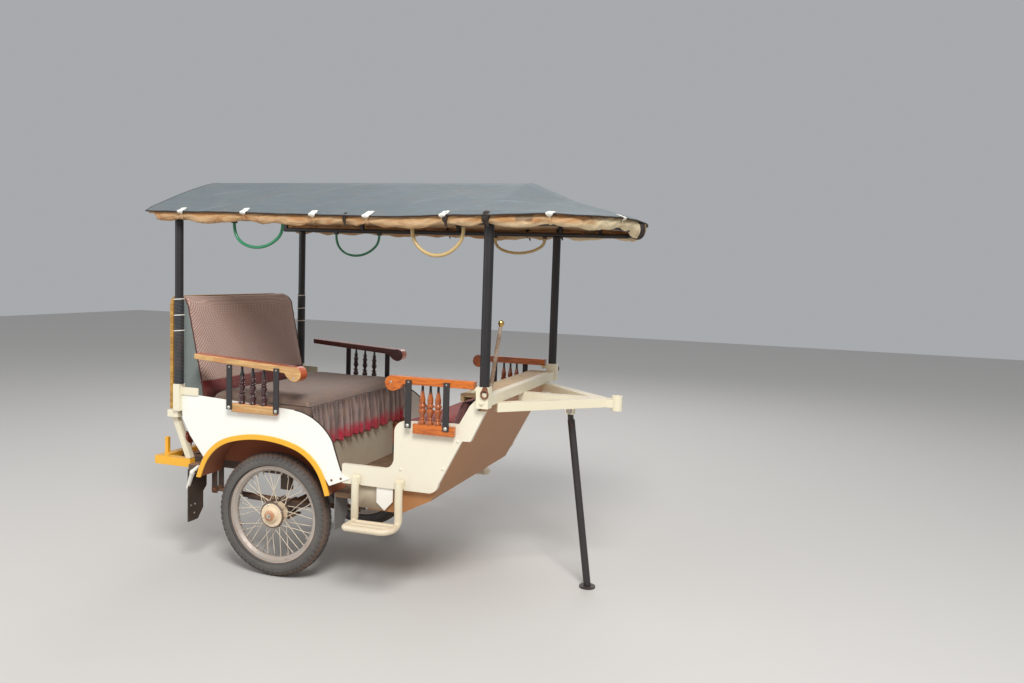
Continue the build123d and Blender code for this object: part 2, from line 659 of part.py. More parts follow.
# Front bench, facing backwards
with BuildPart() as bench:
    block(FLOOR_FRONT - PLY, FLOOR_FRONT, -HULL_HALF + SHEET, HULL_HALF - SHEET, FLOOR_TOP, BENCH_TOP)
    block(FLOOR_FRONT, FLOOR_FRONT + BENCH_DEPTH, -HULL_HALF, HULL_HALF, BENCH_TOP - PLY, BENCH_TOP)
bench.part.label = "front_bench"
export_step(bench.part, "parts/front_bench.step")

with BuildPart() as bench_cushion:
    block(FLOOR_FRONT - PLY, 858, -HULL_HALF + 13, HULL_HALF - 13, BENCH_TOP + CLOTH_GAP, 800)
    fillet(bench_cushion.edges().filter_by(Axis.Y).group_by(Axis.Z)[-1], 25)
bench_cushion.part.label = "front_bench_cushion"
export_step(bench_cushion.part, "parts/front_bench_cushion.step")

with BuildPart() as bench_back:
    with BuildSketch(side(HULL_HALF - 13)):
        with BuildLine():
            Polyline((860, BENCH_TOP + CLOTH_GAP), (900, BENCH_TOP + CLOTH_GAP), (985, 916), (945, 916),
                     close=True)
        make_face()
    extrude(amount=2 * (HULL_HALF - 13))
bench_back.part.label = "front_bench_back"
export_step(bench_back.part, "parts/front_bench_back.step")

# Front rail across the top of the apron, with the sockets of the front posts
with BuildPart() as front_rail:
    block(FRONT_RAIL[0], FRONT_RAIL[1], -HULL_HALF, HULL_HALF, FRONT_RAIL[2], FRONT_RAIL[3])
    for name, hand in RIGHT_LEFT:
        block(POST_FRONT_X - COLLAR_HALF, POST_FRONT_X + COLLAR_HALF,
              hand * HULL_HALF, hand * (BODY_HALF + COLLAR_HALF), *COLLAR)
        with Locations(at(POST_FRONT_X, hand * BODY_HALF, POST_FRONT_FOOT)):
            Cylinder(POST_FRONT_RADIUS + CLOTH_GAP, COLLAR[1] - POST_FRONT_FOOT,
                     align=(Align.CENTER, Align.CENTER, Align.MIN), mode=Mode.SUBTRACT)
front_rail.part.label = "front_rail"
export_step(front_rail.part, "parts/front_rail.step")

with BuildPart() as shelf:
    low = FRONT_RAIL[3] - SHELF_PLY
    block(SHELF_REAR, FRONT_RAIL[0], -HULL_HALF, HULL_HALF, low, FRONT_RAIL[3])
    block(SHELF_REAR, SHELF_REAR + PLY, -HULL_HALF, HULL_HALF, low - SHELF_LIP, low)
shelf.part.label = "front_shelf"
export_step(shelf.part, "parts/front_shelf.step")

# Armrests: a scrolled rail, a foot block and three turned spindles, all of wood
REST_Y = BODY_HALF + 12
REST_HALF = 13
SPINDLES = {"rear": (-120, -62, -3), "front": (785, 822, 858)}
BARS = {"rear": (-178, 72), "front": (726, 901)}
BLOCKS = {"rear": (-172, 69, 784, 825), "front": (747, 937, 767, 810)}
REST_BOTTOM = {"rear": 982, "front": 977}
REST_SLOPE = {"rear": 0.07, "front": 0}
BAR_FOOT = {"rear": 795, "front": 790}
BAR_WIDTH = 28
BAR = 6
SPINDLE = ((0, 11.5), (0.07, 11.5), (0.16, 7.5), (0.26, 12.5), (0.34, 12.5), (0.42, 8), (0.46, 11.5),
           (0.54, 10.5), (0.8, 6), (1, 7))


def rest_outline(place):
    """Draws the side view of one scrolled armrest rail."""
    low = REST_BOTTOM[place]
    if place == "rear":
        rise = REST_SLOPE[place] * (110 + 377)
        Polyline((110, low), (-377, low + rise), (-377, low + rise + 26), (150, low + 30))
        ThreePointArc((150, low + 30), (196, low), (158, low - 36))
        ThreePointArc((158, low - 36), (128, low - 22), (110, low))
    else:
        Polyline((700, low), (1021, low), (1021, low + 33), (655, low + 33))
        ThreePointArc((655, low + 33), (611, low), (648, low - 33))
        ThreePointArc((648, low - 33), (678, low - 22), (700, low))


for place in ("rear", "front"):
    for name, hand in RIGHT_LEFT:
        x0, x1, z0, z1 = BLOCKS[place]
        with BuildPart() as rest:
            with BuildSketch(side(hand * (REST_Y + REST_HALF))):
                with BuildLine():
                    rest_outline(place)
                make_face()
            extrude(amount=hand * 2 * REST_HALF)
            block(x0, x1, hand * BODY_HALF, hand * (REST_Y + REST_HALF), z0, z1)
            for x in SPINDLES[place]:
                tall = REST_BOTTOM[place] - z1 + REST_SLOPE[place] * (BARS[place][1] - x) + 5
                turned(at(x, hand * REST_Y, z1), tall, SPINDLE)
        rest.part.label = f"{place}_armrest_{name}"
        export_step(rest.part, f"parts/{place}_armrest_{name}.step")

    with BuildPart() as bars:
        for name, hand in RIGHT_LEFT:
            for x in BARS[place]:
                block(x - BAR_WIDTH / 2, x + BAR_WIDTH / 2, hand * (REST_Y + REST_HALF),
                      hand * (REST_Y + REST_HALF + BAR), BAR_FOOT[place], REST_BOTTOM[place] + 20)
    bars.part.label = f"{place}_armrest_bars"
    export_step(bars.part, f"parts/{place}_armrest_bars.step")

# Roof posts
with BuildPart() as posts:
    for name, hand in RIGHT_LEFT:
        for x, radius, foot in ((POST_REAR_X, POST_REAR_RADIUS, SOCKET_TOP_REAR),
                                (POST_FRONT_X, POST_FRONT_RADIUS, POST_FRONT_FOOT)):
            with BuildSketch(Plane.XY.offset(foot)):
                with Locations((AXLE_X + x, hand * BODY_HALF)):
                    Circle(radius)
            extrude(amount=EAVE_RAIL_Z - EAVE_RAIL_RADIUS - foot)
posts.part.label = "roof_posts"
export_step(posts.part, "parts/roof_posts.step")

with BuildPart() as sleeves:
    for name, hand in RIGHT_LEFT:
        with BuildSketch(Plane.XY.offset(SOCKET_TOP_REAR)):
            with Locations((AXLE_X + POST_REAR_X, hand * BODY_HALF)):
                Circle(SLEEVE_RADIUS)
                Circle(POST_REAR_RADIUS + CLOTH_GAP, mode=Mode.SUBTRACT)
        extrude(amount=SLEEVE_TOP - SOCKET_TOP_REAR)
sleeves.part.label = "post_sleeves"
export_step(sleeves.part, "parts/post_sleeves.step")

# Roof frame: eave rails, bows, a ridge pole, and the clips that the hoses end in
HOSES = {
    "hose_green_right": (-1, 7, ((-177, 1650), (-177, 1608), (-142, 1562), (-88, 1542), (-26, 1543),
                                (32, 1566), (78, 1610), (78, 1650))),
    "hose_beige_right": (-1, 8, ((712, 1650), (712, 1604), (748, 1554), (804, 1527), (864, 1531),
                                (914, 1562), (946, 1606), (946, 1650))),
    "hose_green_left": (1, 7, ((-256, 1650), (-256, 1608), (-220, 1556), (-160, 1531), (-92, 1533),
                               (-30, 1560), (18, 1608), (18, 1650))),
    "hose_beige_left": (1, 8, ((714, 1650), (714, 1615), (756, 1584), (818, 1571), (880, 1572),
                               (944, 1588), (993, 1618), (993, 1650))),
}
HOSE_END = 1650
HOSE_SIDES = 6
CLIP_HALF = 10
BOW_DROP = ROOF_SHEET + (BOW_RADIUS + CLOTH_GAP) / math.cos(math.radians(SLOPE_ANGLE))
BOWS = ((-590, 1.0), (-90, 1.0), (500, 1.0), (ROOF_BREAK - 10, 1.0), (1290, 0.54))
with BuildPart() as roof_frame:
    for name, hand in RIGHT_LEFT:
        with BuildSketch(front(ROOF_REAR + 10)):
            with Locations((hand * BODY_HALF, EAVE_RAIL_Z)):
                RegularPolygon(EAVE_RAIL_RADIUS, 12)
        extrude(amount=nose_x(BODY_HALF, EAVE_OVERHANG) - ROOF_REAR - 10)
    with BuildLine() as nose:
        nose_arc(EAVE_OVERHANG, BODY_HALF, EAVE_RAIL_Z)
    with BuildSketch(Plane(origin=nose.line @ 0, x_dir=(0, 0, 1), z_dir=nose.line % 0)):
        Rectangle(NOSE_TUBE, NOSE_TUBE)
    sweep()
    nose_low = at(nose_x(0, EAVE_OVERHANG), 0, EAVE_RAIL_Z + NOSE_TUBE / 2)
    strut, length = tube_between(at(BOWS[-1][0], 0, EAVE_Z - BOW_DROP + BOWS[-1][1] * roof_rise(0)), nose_low)
    with BuildSketch(strut):
        Rectangle(NOSE_STRUT, NOSE_STRUT)
    extrude(amount=length)
    for x, scale in BOWS:
        with BuildLine(front(x)) as bow:
            start, end = roof_arcs(BODY_HALF, EAVE_Z - BOW_DROP, scale)
        first = bow.edges().sort_by(Axis.Y)[0]
        with BuildSketch(Plane(origin=first @ 0, x_dir=(1, 0, 0), z_dir=first % 0)):
            Rectangle(2 * BOW_RADIUS, 2 * BOW_RADIUS)
        sweep()
        for name, hand in RIGHT_LEFT:
            y = hand * BODY_HALF
            block(x - BOW_RADIUS, x + BOW_RADIUS, y - BOW_RADIUS, y + BOW_RADIUS, EAVE_RAIL_Z, start[1])
    ridge = EAVE_Z - BOW_DROP + roof_rise(0)
    block(ROOF_REAR + 12, ROOF_BREAK, 1 - BOW_RADIUS, BOW_RADIUS - 1, ridge - BOW_RADIUS + 1,
          ridge + BOW_RADIUS - 1)
    for hose, (hand, radius, route) in HOSES.items():
        for x in (route[0][0], route[-1][0]):
            y = hand * BODY_HALF
            block(x - CLIP_HALF, x + CLIP_HALF, y - CLIP_HALF, y + CLIP_HALF, HOSE_END, EAVE_RAIL_Z)
roof_frame.part.label = "roof_frame"
export_step(roof_frame.part, "parts/roof_frame.step")

with BuildPart() as canopy:
    for (x0, s0), (x1, s1) in zip(VISOR[:-1], VISOR[1:]):
        for x, scale in ((x0, s0), (x1, s1)):
            with BuildSketch(front(x)):
                with BuildLine():
                    outer = roof_arcs(ROOF_HALF, EAVE_Z, scale)
                    inner = roof_arcs(ROOF_HALF, EAVE_Z - ROOF_SHEET, scale)
                    Line(outer[0], inner[0])
                    Line(outer[1], inner[1])
                make_face()
        loft(ruled=True)
    with BuildSketch(Plane.XY.offset(EAVE_Z - 2 * ROOF_SHEET)):
        with Locations((AXLE_X + ROOF_FRONT - NOSE_RADIUS, 0)):
            Circle(NOSE_RADIUS)
        with Locations((AXLE_X + ROOF_REAR, 0)):
            Rectangle(2 * (ROOF_BREAK - ROOF_REAR), 2 * NOSE_RADIUS)
    extrude(amount=2 * roof_rise(0), mode=Mode.INTERSECT)
canopy.part.label = "canopy"
export_step(canopy.part, "parts/canopy.step")

# Rain curtains, rolled up under the eaves and under the bowed front edge
CURTAIN_END = ROOF_CORNER - 25
CURTAIN_LIFT = 5.2
CURTAIN_FRONT_Z = EAVE_Z - ROOF_SHEET - CURTAIN_RADIUS + CURTAIN_LIFT
for name, hand in RIGHT_LEFT:
    with BuildPart() as curtain:
        for x0, x1 in ((ROOF_REAR, ROOF_BREAK), (ROOF_BREAK, VISOR[2][0]), (VISOR[2][0], CURTAIN_END)):
            for x in (x0, x1):
                lean = math.atan(visor_scale(x) * math.tan(math.radians(SLOPE_ANGLE)))
                top = EAVE_Z - ROOF_SHEET + visor_scale(x) * roof_rise(CURTAIN_Y)
                with BuildSketch(front(x)):
                    with Locations((hand * CURTAIN_Y, top - (CURTAIN_RADIUS + CLOTH_GAP) / math.cos(lean))):
                        RegularPolygon(CURTAIN_RADIUS, 12)
            loft(ruled=True)
    curtain.part.label = f"curtain_roll_{name}"
    export_step(curtain.part, f"parts/curtain_roll_{name}.step")

with BuildPart() as front_curtain:
    with BuildLine() as roll:
        nose_arc(CURTAIN_INSET, CURTAIN_Y - CURTAIN_RADIUS - 3, CURTAIN_FRONT_Z)
    with BuildSketch(Plane(origin=roll.line @ 0, x_dir=(0, 0, 1), z_dir=roll.line % 0)):
        RegularPolygon(CURTAIN_RADIUS, 12)
    sweep()
front_curtain.part.label = "curtain_roll_front"
export_step(front_curtain.part, "parts/curtain_roll_front.step")

# Hose loops that hang from the eave rails
for hose_name, (hand, radius, route) in HOSES.items():
    points = [Vector(*at(x, hand * BODY_HALF, z)) for x, z in route]
    radii = []
    for a, b, c in zip(points[:-2], points[1:-1], points[2:]):
        turn = math.radians((b - a).get_angle(c - b))
        radii.append(0.45 * min((b - a).length, (c - b).length) / math.tan(turn / 2))
    with BuildPart() as hose:
        with BuildLine() as path:
            FilletPolyline(*points, radius=radii)
        with BuildSketch(Plane(origin=points[0], z_dir=points[1] - points[0])):
            RegularPolygon(radius, HOSE_SIDES)
        sweep()
    length = sum(edge.length for edge in path.edges())
    print(hose_name, "radii", [round(r) for r in radii], "length", round(length),
          "volume check", round(hose.part.volume / (math.pi * radius ** 2 * length), 3))
    hose.part.label = hose_name
    export_step(hose.part, f"parts/{hose_name}.step")

# Foot steps: two legs and a tray of two bars
STEP_LEGS = (474, 685)
STEP_TUBE = 40
STEP_TOP = 540
STEP_LOW = 312
STEP_PROUD = 130
STEP_REACH = BODY_HALF + STEP_PROUD
STEP_TRAY = 34
for name, hand in RIGHT_LEFT:
    with BuildPart() as step:
        y0 = hand * BODY_HALF
        y1 = hand * (BODY_HALF + STEP_TUBE)
        y2 = hand * (STEP_REACH - STEP_TUBE)
        for x in STEP_LEGS:
            block(x - STEP_TUBE / 2, x + STEP_TUBE / 2, y0, y1, STEP_LOW, STEP_TOP)
            block(x - STEP_TUBE / 2, x + STEP_TUBE / 2, y0, hand * STEP_REACH, STEP_LOW, STEP_LOW + STEP_TRAY)
        block(STEP_LEGS[0], STEP_LEGS[1], y0, y1, STEP_LOW, STEP_LOW + STEP_TRAY)
        block(STEP_LEGS[0], STEP_LEGS[1], y2, hand * STEP_REACH, STEP_LOW, STEP_LOW + STEP_TRAY)
        corners = step.edges().filter_by(Axis.Z).group_by(Axis.Y)[0 if hand < 0 else -1]
        fillet(corners.sort_by(Axis.X)[-1], STEP_TRAY)
    step.part.label = f"step_{name}"
    export_step(step.part, f"parts/step_{name}.step")

# Mud flaps
outer_y = BODY_HALF - FENDER_SHEET
inner_y = WELL_INNER
with BuildPart() as rear_flaps:
    for name, hand in RIGHT_LEFT:
        with BuildSketch(front(OUTRIGGER_X - RAIL / 2 - 6)):
            with BuildLine():
                Polyline((hand * outer_y, 480), (hand * (inner_y + 20), 480), (hand * (inner_y + 20), 375),
                         (hand * (inner_y + 45), 350), (hand * (inner_y + 45), 270),
                         (hand * (inner_y + 85), 222), (hand * outer_y, 222), close=True)
            make_face()
        extrude(amount=6)
rear_flaps.part.label = "rear_mud_flaps"
export_step(rear_flaps.part, "parts/rear_mud_flaps.step")

with BuildPart() as front_flaps:
    for name, hand in RIGHT_LEFT:
        with BuildSketch(front(347)):
            with BuildLine():
                Polyline((hand * (outer_y - 19), FLOOR_TOP), (hand * (inner_y + 20), FLOOR_TOP),
                         (hand * (inner_y + 20), 330), (hand * (inner_y + 55), 280),
                         (hand * (outer_y - 19), 280), close=True)
            make_face()
        extrude(amount=5)
front_flaps.part.label = "front_mud_flaps"
export_step(front_flaps.part, "parts/front_mud_flaps.step")

# Drawbar with the hitch sleeve and the ears of the prop leg
DRAWBAR_LOW = DRAWBAR_Z - DRAWBAR / 2
EAR = 5
EAR_GAP = 12.5
EAR_HALF = 20
with BuildPart() as drawbar:
    block(DRAWBAR_REAR, HITCH_X, -DRAWBAR / 2, DRAWBAR / 2, DRAWBAR_LOW, DRAWBAR_LOW + DRAWBAR)
    for name, hand in RIGHT_LEFT:
        block(PROP_X - EAR_HALF, PROP_X + EAR_HALF, hand * EAR_GAP, hand * (EAR_GAP + EAR),
              PROP_Z - 18, DRAWBAR_LOW)
    with Locations(at(HITCH_X, 0, DRAWBAR_Z)):
        Cylinder(HITCH_BORE + HITCH_WALL, HITCH_LENGTH)
        Cylinder(HITCH_BORE, HITCH_LENGTH, mode=Mode.SUBTRACT)
    with BuildSketch(side(EAR_GAP + EAR)):
        with Locations((PROP_X, PROP_Z)):
            Circle(PIN_RADIUS)
    extrude(amount=2 * (EAR_GAP + EAR))
drawbar.part.label = "drawbar"
export_step(drawbar.part, "parts/drawbar.step")

# Braces from the front rail to the drawbar
for name, hand in RIGHT_LEFT:
    with BuildPart() as brace:
        with BuildSketch(Plane.XY.offset(DRAWBAR_LOW)):
            with BuildLine():
                Polyline((AXLE_X + DRAWBAR_REAR, hand * BRACE_Y),
                         (AXLE_X + FRONT_RAIL[1], hand * (BRACE_Y + BRACE_SPREAD)),
                         (AXLE_X + HITCH_X + BRACE_REACH[1], hand * DRAWBAR / 2),
                         (AXLE_X + HITCH_X + BRACE_REACH[0], hand * DRAWBAR / 2), close=True)
            make_face()
        extrude(amount=DRAWBAR)
    brace.part.label = f"drawbar_brace_{name}"
    export_step(brace.part, f"parts/drawbar_brace_{name}.step")

# Prop leg
RAKE = math.radians(PROP_RAKE)
PROP_FOOT_X = PROP_X + (PROP_Z - PROP_PAD) * math.tan(RAKE)
with BuildPart() as prop:
    plane, length = tube_between(at(PROP_FOOT_X, 0, PROP_PAD), at(PROP_X, 0, PROP_Z))
    with BuildSketch(plane):
        Circle(PROP_RADIUS)
    extrude(amount=length - 45)
    with BuildSketch(side(12)):
        with BuildLine():
            Polyline((PROP_X - 11, PROP_Z), (PROP_X - 3, PROP_Z - 75), (PROP_X + 20, PROP_Z - 75),
                     (PROP_X + 11, PROP_Z), close=True)
        make_face()
        with Locations((PROP_X, PROP_Z)):
            Circle(11)
    extrude(amount=24)
    with Locations(at(PROP_FOOT_X, 0, PROP_PAD / 2)):
        Cylinder(PROP_PAD_RADIUS, PROP_PAD)
    split(bisect_by=Plane.XY, keep=Keep.TOP)
    with BuildSketch(side(30)):
        with Locations((PROP_X, PROP_Z)):
            Circle(PIN_RADIUS + BEARING_GAP)
    extrude(amount=60, mode=Mode.SUBTRACT)
prop.part.label = "prop_leg"
export_step(prop.part, "parts/prop_leg.step")

# Flag staff by the right front post, with a turned ball on top
STAFF_Y = 47 - BODY_HALF
STAFF_RADIUS = 10
STAFF_FOOT_X = 1066
STAFF_TOP = (1107, 1245)
BALL_RADIUS = 13
BALL = ((0, 0.4), (0.15, 0.8), (0.38, 1), (0.62, 1), (0.85, 0.8), (1, 0.3))
with BuildPart() as staff:
    base = at(STAFF_FOOT_X, STAFF_Y, FRONT_RAIL[3] - 5)
    plane, length = tube_between(base, at(STAFF_TOP[0], STAFF_Y, STAFF_TOP[1]))
    with BuildSketch(plane):
        RegularPolygon(STAFF_RADIUS, TURNED_SIDES)
    extrude(amount=length, taper=0.4)
    turned(at(STAFF_TOP[0] + 1.5, STAFF_Y, STAFF_TOP[1] + 10 - BALL_RADIUS), 2 * BALL_RADIUS,
           [(share, radius * BALL_RADIUS) for share, radius in BALL])
    split(bisect_by=Plane(origin=(0, 0, FRONT_RAIL[3]), z_dir=(0, 0, 1)), keep=Keep.TOP)
staff.part.label = "flag_staff"
export_step(staff.part, "parts/flag_staff.step")
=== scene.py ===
"""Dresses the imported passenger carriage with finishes, soft goods, cords and small trim.

Everything stands in the row frame, in metres: +X forward, +Y to the carriage's left, +Z up.
Places along the carriage are given from the wheel axle and turned into the frame by Place.
"""
import logging
import math
import random
from dataclasses import dataclass, field
from enum import Enum
from typing import Callable, ClassVar, Iterable, Optional, Sequence, Union

import bmesh
import bpy
from mathutils import Matrix, Vector
from mathutils.bvhtree import BVHTree


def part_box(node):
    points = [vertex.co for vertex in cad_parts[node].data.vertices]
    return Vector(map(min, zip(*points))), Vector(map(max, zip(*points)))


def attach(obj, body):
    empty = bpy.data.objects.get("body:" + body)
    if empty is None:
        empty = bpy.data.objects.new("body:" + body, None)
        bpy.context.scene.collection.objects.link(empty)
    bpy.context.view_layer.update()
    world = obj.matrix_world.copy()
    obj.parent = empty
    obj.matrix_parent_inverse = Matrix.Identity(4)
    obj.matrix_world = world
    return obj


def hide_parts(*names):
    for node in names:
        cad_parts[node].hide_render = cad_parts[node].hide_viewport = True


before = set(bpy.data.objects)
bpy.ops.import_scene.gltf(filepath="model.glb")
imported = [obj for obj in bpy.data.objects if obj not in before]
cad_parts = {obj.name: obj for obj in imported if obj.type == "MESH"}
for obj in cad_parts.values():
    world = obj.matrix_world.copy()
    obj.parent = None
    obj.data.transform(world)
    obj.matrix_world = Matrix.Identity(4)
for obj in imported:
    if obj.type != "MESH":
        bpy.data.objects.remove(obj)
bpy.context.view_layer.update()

LOG = logging.getLogger("carriage")
MM = 0.001
AXLE_X = -0.5025
AXLE_Z = 0.297
Color = tuple[float, float, float]
Profile = Sequence[tuple[float, float]]


def srgb(red: int, green: int, blue: int) -> Color:
    """Turns a colour as seen on a screen, 0 to 255, into linear light.

    Args:
        red: Red as seen.
        green: Green as seen.
        blue: Blue as seen.

    Returns:
        The same colour in linear light.
    """
    return tuple(((c / 255 + 0.055) / 1.055) ** 2.4 if c > 10 else c / 255 / 12.92
                 for c in (red, green, blue))


def at(x: float, y: float, z: float) -> Vector:
    """Gives a point of the row frame from millimetres, with x counted from the axle."""
    return Vector((AXLE_X + x * MM, y * MM, z * MM))


DUST = srgb(176, 132, 100)
RED_DUST = srgb(140, 84, 56)
RUST = srgb(104, 56, 32)


class Side(Enum):
    """The carriage's two sides; the value is the sign of Y there."""

    RIGHT = -1
    LEFT = 1

    @property
    def word(self) -> str:
        """The side's name as the node names write it."""
        return self.name.lower()


class Body(Enum):
    """The CAD bodies that pieces ride on."""

    CARRIAGE = "carriage"
    WHEEL_RIGHT = "wheel_right"
    WHEEL_LEFT = "wheel_left"
    PROP_LEG = "prop_leg"


class Socket:
    """A shader output that Python expressions can use.

    Adding, scaling or comparing sockets adds the Math nodes for it to the socket's tree.
    """

    def __init__(self, tree: "Tree", end: bpy.types.NodeSocket) -> None:
        """Keeps the tree that makes more nodes and the output it stands for."""
        self.tree = tree
        self.end = end

    def sibling(self, name: str) -> "Socket":
        """Gives another output of the same node."""
        return Socket(self.tree, self.end.node.outputs[name])

    def maths(self, operation: str, *values: "Value") -> "Socket":
        """Adds one Math node.

        Args:
            operation: The Math node's operation.
            values: What feeds its sockets, in order.

        Returns:
            The node's result.
        """
        return self.tree.node("ShaderNodeMath", {"operation": operation}, dict(enumerate(values)))

    def __add__(self, other: "Value") -> "Socket":
        """self + other."""
        return self.maths("ADD", self, other)

    def __radd__(self, other: "Value") -> "Socket":
        """other + self."""
        return self.maths("ADD", other, self)

    def __sub__(self, other: "Value") -> "Socket":
        """self - other."""
        return self.maths("SUBTRACT", self, other)

    def __rsub__(self, other: "Value") -> "Socket":
        """other - self."""
        return self.maths("SUBTRACT", other, self)

    def __mul__(self, other: "Value") -> "Socket":
        """self * other."""
        return self.maths("MULTIPLY", self, other)

    def __rmul__(self, other: "Value") -> "Socket":
        """other * self."""
        return self.maths("MULTIPLY", other, self)

    def __truediv__(self, other: "Value") -> "Socket":
        """self / other."""
        return self.maths("DIVIDE", self, other)

    def __rtruediv__(self, other: "Value") -> "Socket":
        """other / self."""
        return self.maths("DIVIDE", other, self)

    def __pow__(self, other: "Value") -> "Socket":
        """self to the power of other."""
        return self.maths("POWER", self, other)

    def __neg__(self) -> "Socket":
        """0 - self."""
        return 0.0 - self

    def __abs__(self) -> "Socket":
        """The size of self without its sign."""
        return self.maths("ABSOLUTE", self)

    def sine(self) -> "Socket":
        """The sine of self, in radians."""
        return self.maths("SINE", self)

    def most(self, other: "Value") -> "Socket":
        """The larger of self and other."""
        return self.maths("MAXIMUM", self, other)

    def least(self, other: "Value") -> "Socket":
        """The smaller of self and other."""
        return self.maths("MINIMUM", self, other)

    def clamp(self) -> "Socket":
        """Self held between 0 and 1."""
        return self.most(0.0).least(1.0)

    def above(self, edge: float, soft: float = 0.02) -> "Socket":
        """Gives a mask of where self is over an edge.

        Args:
            edge: The value at which the mask is half.
            soft: How far each side of the edge the mask takes to turn.

        Returns:
            A mask that is 0 below the edge and 1 above it.
        """
        return self.tree.node("ShaderNodeMapRange", {"interpolation_type": "SMOOTHSTEP"},
                              {"Value": self, "From Min": edge - soft, "From Max": edge + soft})

    def below(self, edge: float, soft: float = 0.02) -> "Socket":
        """Gives the mask of where self is under an edge, as above() does."""
        return 1.0 - self.above(edge, soft)


Value = Union[Socket, float]
Tint = Union[Socket, Color]


class Tree:
    """The node tree of one finish, with the few patterns that the finishes share."""

    def __init__(self, name: str) -> None:
        """Makes an empty material of that name."""
        self.material = bpy.data.materials.new(name)
        self.material.use_nodes = True
        self.nodes = self.material.node_tree.nodes
        self.links = self.material.node_tree.links
        self.nodes.clear()
        self.place = self.node("ShaderNodeTexCoord", out="Object")
        self.x = self.node("ShaderNodeSeparateXYZ", sockets={0: self.place}, out="X")
        self.y = self.x.sibling("Y")
        self.z = self.x.sibling("Z")

    def node(self, kind: str, settings: Optional[dict] = None, sockets: Optional[dict] = None,
             out: Union[int, str] = 0) -> Socket:
        """Adds any node.

        Args:
            kind: The node's type.
            settings: Its properties, set first; stops gives a ramp's positions and colours.
            sockets: The value or link of each input, by name or number.
            out: The output that is wanted.

        Returns:
            That output.
        """
        made = self.nodes.new(kind)
        for key, value in (settings or {}).items():
            if key == "stops":
                self._stops(made.color_ramp, value)
            else:
                setattr(made, key, value)
        for key, value in (sockets or {}).items():
            if isinstance(value, Socket):
                self.links.new(value.end, made.inputs[key])
            elif isinstance(value, (tuple, list)) and len(made.inputs[key].default_value) == 4:
                made.inputs[key].default_value = (*value[:3], 1.0)
            else:
                made.inputs[key].default_value = value
        return Socket(self, made.outputs[out]) if len(made.outputs) else Socket(self, made.inputs[0])

    @staticmethod
    def _stops(ramp: bpy.types.ColorRamp, stops: Sequence[tuple[float, Color]]) -> None:
        """Sets a colour ramp's stops."""
        while len(ramp.elements) < len(stops):
            ramp.elements.new(0.5)
        for element, (place, color) in zip(ramp.elements, stops):
            element.position = place
            element.color = (*color, 1.0)

    def noise(self, scale: float, detail: float = 4, rough: float = 0.55, warp: float = 0.0,
              stretch: tuple[float, float, float] = (1, 1, 1)) -> Socket:
        """Gives a cloudy value from 0 to 1.

        Args:
            scale: Clouds to the metre.
            detail: How many finer layers there are.
            rough: How strong the finer layers are.
            warp: How far the pattern is pulled about.
            stretch: Factors on the three directions; a small one draws the clouds out.

        Returns:
            The cloud's value at each point.
        """
        vector = self.node("ShaderNodeMapping", sockets={"Vector": self.place, "Scale": stretch})
        return self.node("ShaderNodeTexNoise", {}, {"Vector": vector, "Scale": scale, "Detail": detail,
                                                    "Roughness": rough, "Distortion": warp})

    def cells(self, scale: float, feature: str = "F1") -> Socket:
        """Gives the distance in a pattern of uneven cells."""
        return self.node("ShaderNodeTexVoronoi", {"feature": feature}, {"Vector": self.place, "Scale": scale})

    def mix(self, mask: Value, low: Tint, high: Tint) -> Socket:
        """Mixes two colours, giving high where the mask is 1."""
        return self.node("ShaderNodeMix", {"data_type": "RGBA"}, {0: mask, 6: low, 7: high}, out=2)

    def facing_up(self) -> Socket:
        """Gives how far the surface looks up, from -1 to 1."""
        normal = self.node("ShaderNodeNewGeometry", out="Normal")
        return self.node("ShaderNodeSeparateXYZ", sockets={0: normal}, out="Z")

    def facing_side(self) -> Socket:
        """Gives how far the surface looks along Y, from -1 to 1."""
        normal = self.node("ShaderNodeNewGeometry", out="Normal")
        return self.node("ShaderNodeSeparateXYZ", sockets={0: normal}, out="Y")

    def weave(self, pitch: float) -> Socket:
        """Gives the height of a plain weave whose threads lie a pitch apart, in metres."""
        turn = 2 * math.pi / pitch
        return ((self.x * turn).sine() + (self.y * turn).sine() + (self.z * turn).sine()) / 6 + 0.5

    def finish(self, color: Tint, rough: Value, metal: Value = 0.0, coat: Value = 0.0,
               bumps: Sequence[tuple[Value, float]] = (), **fixed: float) -> bpy.types.Material:
        """Adds the surface shader.

        Args:
            color: The base colour.
            rough: The roughness.
            metal: How far it is metal.
            coat: The weight of its clear coat.
            bumps: Heights with the depth in metres that each stands for.
            fixed: Other inputs of the shader by name, with underscores for spaces, the same all over.

        Returns:
            The finished material.
        """
        sockets: dict = {"Base Color": color, "Roughness": rough, "Metallic": metal, "Coat Weight": coat}
        normal = None
        for height, depth in bumps:
            feed = {"Height": height, "Distance": depth, "Strength": 1.0}
            if normal is not None:
                feed["Normal"] = normal
            normal = self.node("ShaderNodeBump", {}, feed)
        if normal is not None:
            sockets["Normal"] = normal
        sockets.update({key.replace("_", " "): value for key, value in fixed.items()})
        shader = self.node("ShaderNodeBsdfPrincipled", {}, sockets)
        self.node("ShaderNodeOutputMaterial", {}, {"Surface": shader})
        return self.material


